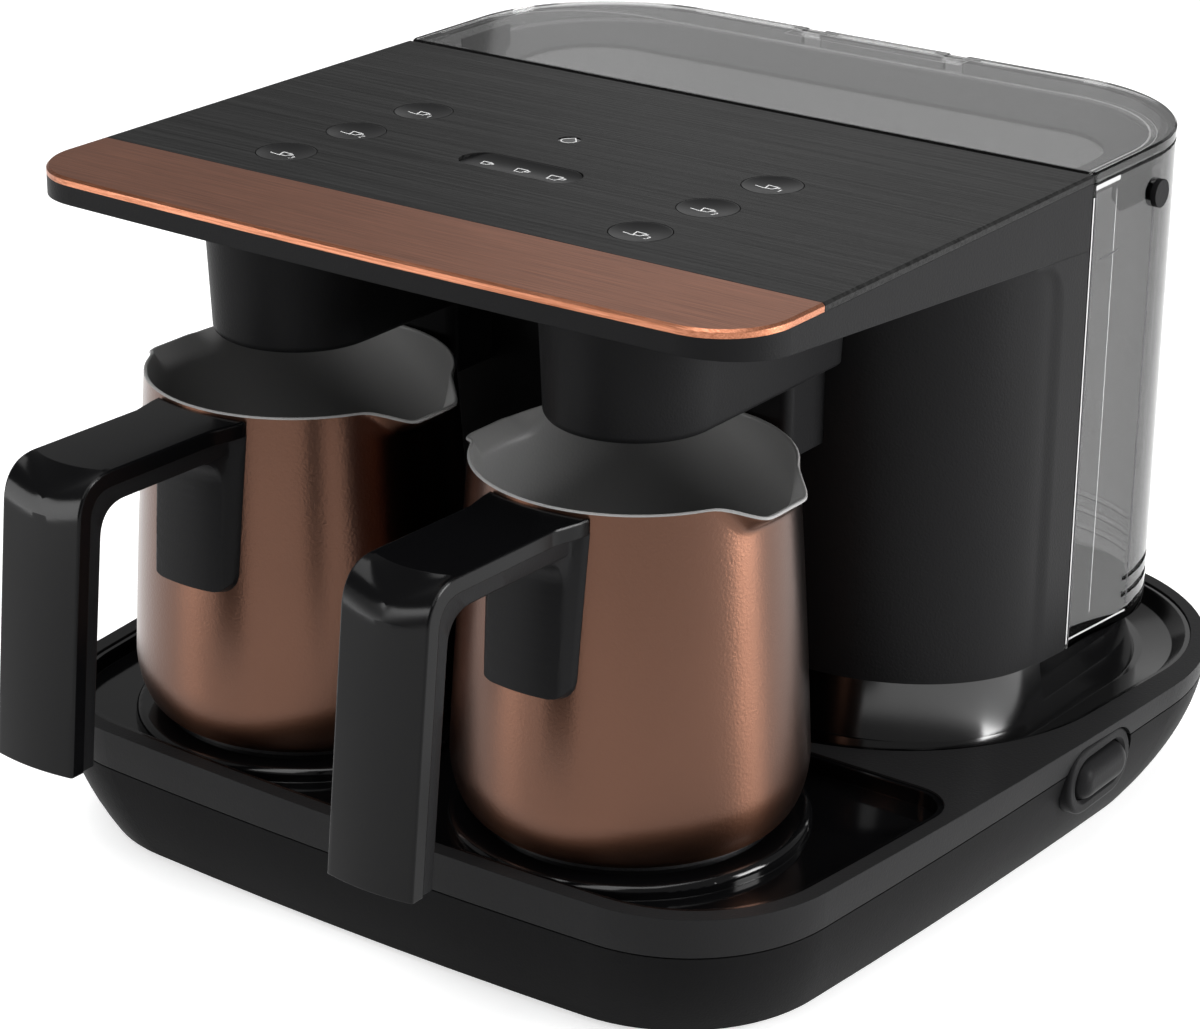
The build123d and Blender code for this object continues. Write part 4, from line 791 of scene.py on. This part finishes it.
def makeKeyMarks():
    shape = markShape
    panelTop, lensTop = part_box("top_panel")[1].z / mm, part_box("status_lens")[1].z / mm
    (cupX, cupY, cupSize), (digitX, digitY, digitSize) = shape["cup"], shape["digit"]
    for name in ("left_1", "left_2", "left_3", "right_1", "right_2", "right_3"):
        x, y = nodeMiddle("key_" + name)
        face = dishedFace(panelTop, shape["dishRadius"], shape["dish"],
                          lambda px, py: (px - x) ** 2 + (py - y) ** 2)
        lines = placed([cupOutline, cupEar, saucer], x + cupX, y + cupY, cupSize)
        lines += placed(digits[name[-1]], x + digitX, y + digitY, digitSize)
        printMark("keyMark_" + name, lines, face, shape["stroke"], "key_" + name)
    x, y = nodeMiddle("key_cup_size")
    face = dishedFace(panelTop, shape["barHalf"], shape["barDish"], lambda px, py: (py - y) ** 2)
    lines = []
    for shift, size in shape["barCups"]:
        lines += placed([cupOutline, cupEar], x + shift, y, size)
    printMark("keyMark_cup_size", lines, face, shape["stroke"], "key_cup_size")
    # a water drop outline round the status lens
    lines = placed([dropOutline], *nodeMiddle("status_lens"), shape["dropSize"])
    printMark("statusMark", lines, lambda px, py: lensTop + shape["proud"], shape["dropStroke"], "machine")


makeKeyMarks()
print("marks made")


# body skin: blends the round column into the rear frame and the head's underside

skinShape = {
    "inset": 0.8, "radius": 45.0, "front": 61.0, "step": 112.0, "slope": 0.0823, "hollow": 14.0,
    "blend": 7.0, "blendTop": 1.6, "proud": 0.04, "coveFrom": 0.8, "coveReach": 6.0, "coveFade": 5.0,
    "frontSteps": 14, "turnSteps": 48, "sideSteps": 44, "rows": 110, "rowPower": 1.6,
}


def skinPath(half, inset=0.0):
    # plan points of the right half, from the middle of the front to the rear edge
    shape = skinShape
    side, radius, front = half - shape["inset"] - inset, shape["radius"] - inset, shape["front"] + inset
    frontSteps, turnSteps, sideSteps = shape["frontSteps"], shape["turnSteps"], shape["sideSteps"]
    path = [(step * (side - radius) / frontSteps, front) for step in range(frontSteps)]
    for step in range(turnSteps + 1):
        turn = math.radians(90 * step / turnSteps)
        path.append((side - radius + radius * math.sin(turn), front + radius * (1 - math.cos(turn))))
    rear = (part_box("rear_frame")[1].y - potAxisY) / mm
    path += [(side, mix(front + radius, rear, step / sideSteps)) for step in range(1, sideSteps + 1)]
    return path


def facing(path, sign):
    # each point of the path on one side of the machine, with the direction out of the wall there
    path = [(sign * x, y) for x, y in path]
    found = []
    for index, (x, y) in enumerate(path):
        beforeX, beforeY = path[max(index - 1, 0)]
        afterX, afterY = path[min(index + 1, len(path) - 1)]
        along = Vector((afterX - beforeX, afterY - beforeY)).normalized()
        found.append((x, y, Vector((along.y, -along.x)) * sign))
    return found


def makeBodySkin():
    shape = skinShape
    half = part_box("rear_frame")[1].x / mm
    columnLow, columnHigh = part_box("column_shell")
    frontTop = columnHigh.z / mm  # the head's underside at the column's front
    frontLow = columnLow.z / mm + shape["slope"] * (shape["step"] - shape["front"])
    tilt = math.hypot(1, shape["slope"])

    def under(y):
        return frontTop - shape["slope"] * (y - shape["front"])

    hollowY = shape["step"] - shape["hollow"]
    hollowZ = under(hollowY) - shape["hollow"] * tilt

    def stepOut(y, z):
        # how far the skin has come out to the frame, from 0 to 1
        if y > hollowY and z > hollowZ:
            away = math.hypot(y - hollowY, z - hollowZ) - shape["hollow"]
            width = mix(shape["blend"], shape["blendTop"], smoothStep((z - hollowZ) / shape["hollow"]))
        elif y > hollowY:
            away, width = y - shape["step"], shape["blend"]
        else:
            away, width = (z - under(y)) / tilt, shape["blendTop"]
        return smoothStep((away + width) / width)

    right = skinPath(half)
    rows = shape["rows"]
    points = []
    for sign in (-1, 1):
        for x, y, outward in facing(right, sign):
            low = frontLow - shape["slope"] * (y - shape["front"])
            cove = smoothStep((abs(x) - half + shape["coveReach"]) / shape["coveFade"])
            for row in range(rows + 1):
                z = mix(low, under(y), 1 - (1 - row / rows) ** shape["rowPower"])
                out = shape["proud"]
                if y > shape["front"] + shape["radius"] * shape["coveFrom"]:
                    out += shape["inset"] * stepOut(y, z) * cove
                points.append(Vector((x + outward.x * out, y + outward.y * out, z)))
    faces = gridFaces(len(right), rows + 1) + gridFaces(len(right), rows + 1, first=len(right) * (rows + 1))
    finishPiece("bodySkin", points, faces, "matteBlack", "machine", sharp=50.0)


plinthShape = {"inset": 2.5, "proud": 0.05, "top": 61.8, "low": 43.5, "lean": 0.19, "hollow": 0.5, "rows": 24,
               "pathPart": (8, 86)}


def makePlinthSkin():
    # a gloss band round the plinth's wall, leaning out towards its foot
    shape, rows = plinthShape, plinthShape["rows"]
    right = skinPath(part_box("rear_frame")[1].x / mm, shape["inset"])[slice(*shape["pathPart"])]
    flare = shape["lean"] * (shape["top"] - shape["low"])
    points, faces = [], []
    for sign in (-1, 1):
        first = len(points)
        for x, y, outward in facing(right, sign):
            fall = skinShape["slope"] * (y - skinShape["front"])
            for row in range(rows + 1):
                drop = row / rows
                out = shape["proud"] + flare * mix(drop, drop**2, shape["hollow"])
                z = mix(shape["top"], shape["low"], drop) - fall
                points.append(Vector((x + outward.x * out, y + outward.y * out, z)))
        faces += gridFaces(len(right), rows + 1, first=first)
    finishPiece("plinthSkin", points, faces, "plinthGloss", "machine", sharp=50.0)


makeBodySkin()
makePlinthSkin()
print("body skins made")


# tank and lid: light-grey ribbons are painted highlights on the clear plastic's edges, rim and hinge; dark
# ribbons draw dark lines on the tank's sides

tankMarks = {
    "side": 0.03, "rows": 8,
    "footBelow": 60.0,  # a stripe that starts below this follows the slope of the tank's foot
    "stripes": {  # low Y, high Y, low Z and high Z
        # the light-grey stripes are painted highlights along the tank's edges
        "paintedHighlightGrey": [(124.8, 125.5, 56.6, 187.0), (137.8, 138.1, 62.0, 186.5), (126.0, 139.5, 188.8, 190.1),
                      (126.0, 160.0, 57.4, 58.0)],
        # dark stripes: dark lines along the tank's sides
        "pumpBlack": [(126.0, 126.5, 56.6, 187.0), (131.0, 141.0, 168.3, 168.8), (159.9, 160.7, 57.0, 176.0)],
    },
}


def makeTankStripes():
    rows = tankMarks["rows"]
    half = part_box("tank_body")[1].x / mm + tankMarks["side"]
    for finish, name in (("paintedHighlightGrey", "tankPaintedHighlights"), ("pumpBlack", "tankDarkLines")):
        points, faces = [], []
        for lowY, highY, lowZ, highZ in tankMarks["stripes"][finish]:
            slope = skinShape["slope"] if lowZ < tankMarks["footBelow"] else 0.0
            for x in (-half, half):
                first = len(points)
                for step in range(rows + 1):
                    z = mix(lowZ, highZ, step / rows)
                    points += [Vector((x, y, z - slope * (y - lowY))) for y in (lowY, highY)]
                faces += gridFaces(rows + 1, 2, first=first)
        finishPiece(name, points, faces, finish, "tank")


lidMarks = {
    "depth": 0.05, "rimFront": 1.5, "rimSide": 2.0, "rimRear": 20.0, "rimRadius": 40.0,
    "rimLines": ((0.0, 0.6), (-1.4, 0.2)),  # inset and width
    "hingeInset": 2.0, "hingeBar": (11.0, 3.0), "hingeLine": 5.5, "hingeWidth": 0.35,
    "mouthSides": (-86.0, 104.0), "mouthRear": 170.0, "mouthRadius": 22.0,
    "shadeInset": 6.5, "shadeRadius": 44.0, "shadeHeight": 186.3, "shadeWall": 1.2, "cornerSteps": 12,
}


def roundedPlan(left, right, front, rear, radius):
    # open outline from the front left round the rear to the front right
    steps = lidMarks["cornerSteps"]
    turns = [math.radians(90 * step / steps) for step in range(steps + 1)]
    bends = [(radius * (1 - math.cos(turn)), radius * (1 - math.sin(turn))) for turn in turns]
    outline = [(left, front)] + [(left + a, rear - b) for a, b in bends]
    return outline + [(right - b, rear - a) for a, b in bends] + [(right, front)]


def makeLidMarks():
    shape = lidMarks
    low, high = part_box("tank_lid")
    half, level = high.x / mm, high.z / mm - shape["depth"]
    front, rear = (low.y - potAxisY) / mm, (high.y - potAxisY) / mm

    def top(px, py):
        return level

    points, faces = [], []
    # painted highlights: light-grey lines along the lid's rim and hinge
    for inset, width in shape["rimLines"]:
        side, back = half - shape["rimSide"] - inset, rear - shape["rimRear"] - inset
        rim = roundedPlan(-side, side, front + shape["rimFront"], back, shape["rimRadius"])
        strokeMesh([rim], top, width, points, faces)
    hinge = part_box("hinge_pins")[1].x / mm - shape["hingeInset"]
    barFront, barRear = (rear - gap for gap in shape["hingeBar"])
    bar = [(-hinge, barFront), (-hinge, barRear), (hinge, barRear), (hinge, barFront), (-hinge, barFront)]
    line = [(sign * hinge, rear - shape["hingeLine"]) for sign in (-1, 1)]
    strokeMesh([bar, line], top, shape["hingeWidth"], points, faces)
    finishPiece("lidPaintedHighlights", points, faces, "paintedHighlightGrey", "tank_lid", weld=0.0001)
    # painted shade: a dark see-through sheet hangs under the lid round its filling mouth, so the mouth looks
    # lighter than the rest of the lid
    inset = shape["shadeInset"]
    mouth = roundedPlan(*shape["mouthSides"], front + inset, shape["mouthRear"], shape["mouthRadius"])
    around = roundedPlan(-half + inset, half - inset, front + inset, rear - inset, shape["shadeRadius"])
    points = [Vector((x, y, shape["shadeHeight"])) for x, y in mouth + around]
    points += [Vector((x, y, shape["shadeHeight"] + shape["shadeWall"])) for x, y in mouth]
    count = len(mouth)
    faces = gridFaces(2, count)
    faces += [(index, index + 1, 2 * count + index + 1, 2 * count + index) for index in range(count - 1)]
    finishPiece("lidPaintedShade", points, faces, "paintedShadeClear", "tank_lid")


makeTankStripes()
makeLidMarks()
print("tank and lid marks made")


# springs of the pot sensors and the tank valve: a steel coil in each spring node's box

springShape = {"wire": 0.6, "turns": 4, "steps": 96, "sides": 10}
springSeats = {
    "sensor_spring_left": {"body": "machine", "joint": "sensor_left_press", "travel": 1.5, "seat": "low"},
    "sensor_spring_right": {"body": "machine", "joint": "sensor_right_press", "travel": 1.5, "seat": "low"},
    "valve_spring": {"body": "tank", "joint": "valve_lift", "travel": 2.0, "seat": "high"},
}


def makeSprings():
    wire, steps, sides = springShape["wire"], springShape["steps"], springShape["sides"]
    for node, spec in springSeats.items():
        low, high = (toRow.inverted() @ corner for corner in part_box(node))
        middle, radius = (low + high) / 2, (high.x - low.x) / 2 - wire
        points = []
        for step in range(steps + 1):
            turn = 2 * math.pi * springShape["turns"] * step / steps
            outward = Vector((math.cos(turn), math.sin(turn), 0))
            center = Vector((middle.x, middle.y, mix(low.z + wire, high.z - wire, step / steps)))
            for side in range(sides):
                around = 2 * math.pi * side / sides
                rise = Vector((0, 0, wire * math.sin(around)))
                points.append(center + outward * (radius + wire * math.cos(around)) + rise)
        faces = gridFaces(steps + 1, sides, closed=True)
        faces += [tuple(range(sides)), tuple(range(steps * sides, (steps + 1) * sides))]
        coil = finishPiece(node + "_coil", points, faces, "steel", spec["body"], [node], 60.0)
        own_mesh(coil)


makeSprings()
print("springs made")


# camera, lights and stage

cameraSetup = {"azimuth": 35.751, "elevation": 22.217, "roll": 0.487, "distance": 0.975,
               "target": (0.0049, -0.0005, 0.091), "lens": 104.73}


def aim(azimuth, elevation, distance, target, roll=0.0):
    turn = Euler((math.radians(90 - elevation), 0, math.radians(azimuth))).to_matrix().to_4x4()
    place = Matrix.Translation(Vector(target) + turn.col[2].to_3d() * distance)
    return place @ turn @ Matrix.Rotation(math.radians(roll), 4, "Z")


def makeCamera():
    lens = bpy.data.cameras.new("camera")
    lens.lens = cameraSetup["lens"]
    lens.sensor_fit = "HORIZONTAL"
    lens.sensor_width = 36.0
    lens.clip_end = 50.0
    camera = bpy.data.objects.new("camera", lens)
    bpy.context.scene.collection.objects.link(camera)
    camera.matrix_world = aim(
        cameraSetup["azimuth"], cameraSetup["elevation"], cameraSetup["distance"],
        cameraSetup["target"], cameraSetup["roll"])
    bpy.context.scene.camera = camera


studio = {"room": 0.25, "floorColor": 0.8, "floorGlow": 0.6, "floorReach": 6.0, "aimHeight": 0.09}
softboxes = {
    "leftBox": {"azimuth": -40, "elevation": 7, "distance": 1.25, "size": (0.36, 0.8), "power": 7},
    "rightBox": {"azimuth": 110, "elevation": 6, "distance": 1.25, "size": (0.38, 1.0), "power": 25},
    "frontBox": {"azimuth": 10, "elevation": 50, "distance": 1.9, "size": (0.9, 0.9), "power": 8},
    "topBox": {"azimuth": 20, "elevation": 86, "distance": 1.5, "size": (1.2, 1.2), "power": 17},
    "backBox": {"azimuth": -168, "elevation": 20, "distance": 1.8, "size": (1.7, 0.8), "power": 1.7},
}


def makeLights():
    for name, spec in softboxes.items():
        light = bpy.data.lights.new(name, "AREA")
        light.shape = "RECTANGLE"
        light.size, light.size_y = spec["size"]
        light.energy = spec["power"]
        lamp = bpy.data.objects.new(name, light)
        bpy.context.scene.collection.objects.link(lamp)
        target = (0, 0, studio["aimHeight"])
        lamp.matrix_world = aim(spec["azimuth"], spec["elevation"], spec["distance"], target)


def makeWorld():
    world = bpy.data.worlds.new("studio")
    world.use_nodes = True
    bpy.context.scene.world = world
    background = world.node_tree.nodes["Background"]
    background.inputs["Color"].default_value = (1.0, 1.0, 1.0, 1.0)
    background.inputs["Strength"].default_value = studio["room"]


def makeFloor():
    mesh = bpy.data.meshes.new("floor")
    reach = studio["floorReach"]
    mesh.from_pydata([(-reach, -reach, 0), (reach, -reach, 0), (reach, reach, 0), (-reach, reach, 0)], [],
                     [(0, 1, 2, 3)])
    floor = bpy.data.objects.new("floor", mesh)
    bpy.context.scene.collection.objects.link(floor)
    tree, surface = newMaterial("floorPaper")
    surface.inputs["Base Color"].default_value = (*[studio["floorColor"]] * 3, 1.0)
    surface.inputs["Roughness"].default_value = 0.9
    surface.inputs["Specular IOR Level"].default_value = 0.0
    paths = addNode(tree, "ShaderNodeLightPath")
    seen = addNode(tree, "ShaderNodeMath", operation="MAXIMUM")
    tree.links.new(paths.outputs["Is Camera Ray"], seen.inputs[0])
    tree.links.new(paths.outputs["Is Transmission Ray"], seen.inputs[1])
    mirrored = addNode(tree, "ShaderNodeMath", operation="MAXIMUM")
    tree.links.new(seen.outputs[0], mirrored.inputs[0])
    tree.links.new(paths.outputs["Is Glossy Ray"], mirrored.inputs[1])
    glow = addNode(tree, "ShaderNodeMath", operation="MULTIPLY")
    glow.inputs[1].default_value = studio["floorGlow"]
    tree.links.new(mirrored.outputs[0], glow.inputs[0])
    surface.inputs["Emission Color"].default_value = (1.0, 1.0, 1.0, 1.0)
    tree.links.new(glow.outputs[0], surface.inputs["Emission Strength"])
    mesh.materials.append(materials["floorPaper"])


makeCamera()
makeLights()
makeWorld()
makeFloor()
bpy.context.scene.view_settings.view_transform = "Standard"
print("camera, lights and stage ready")
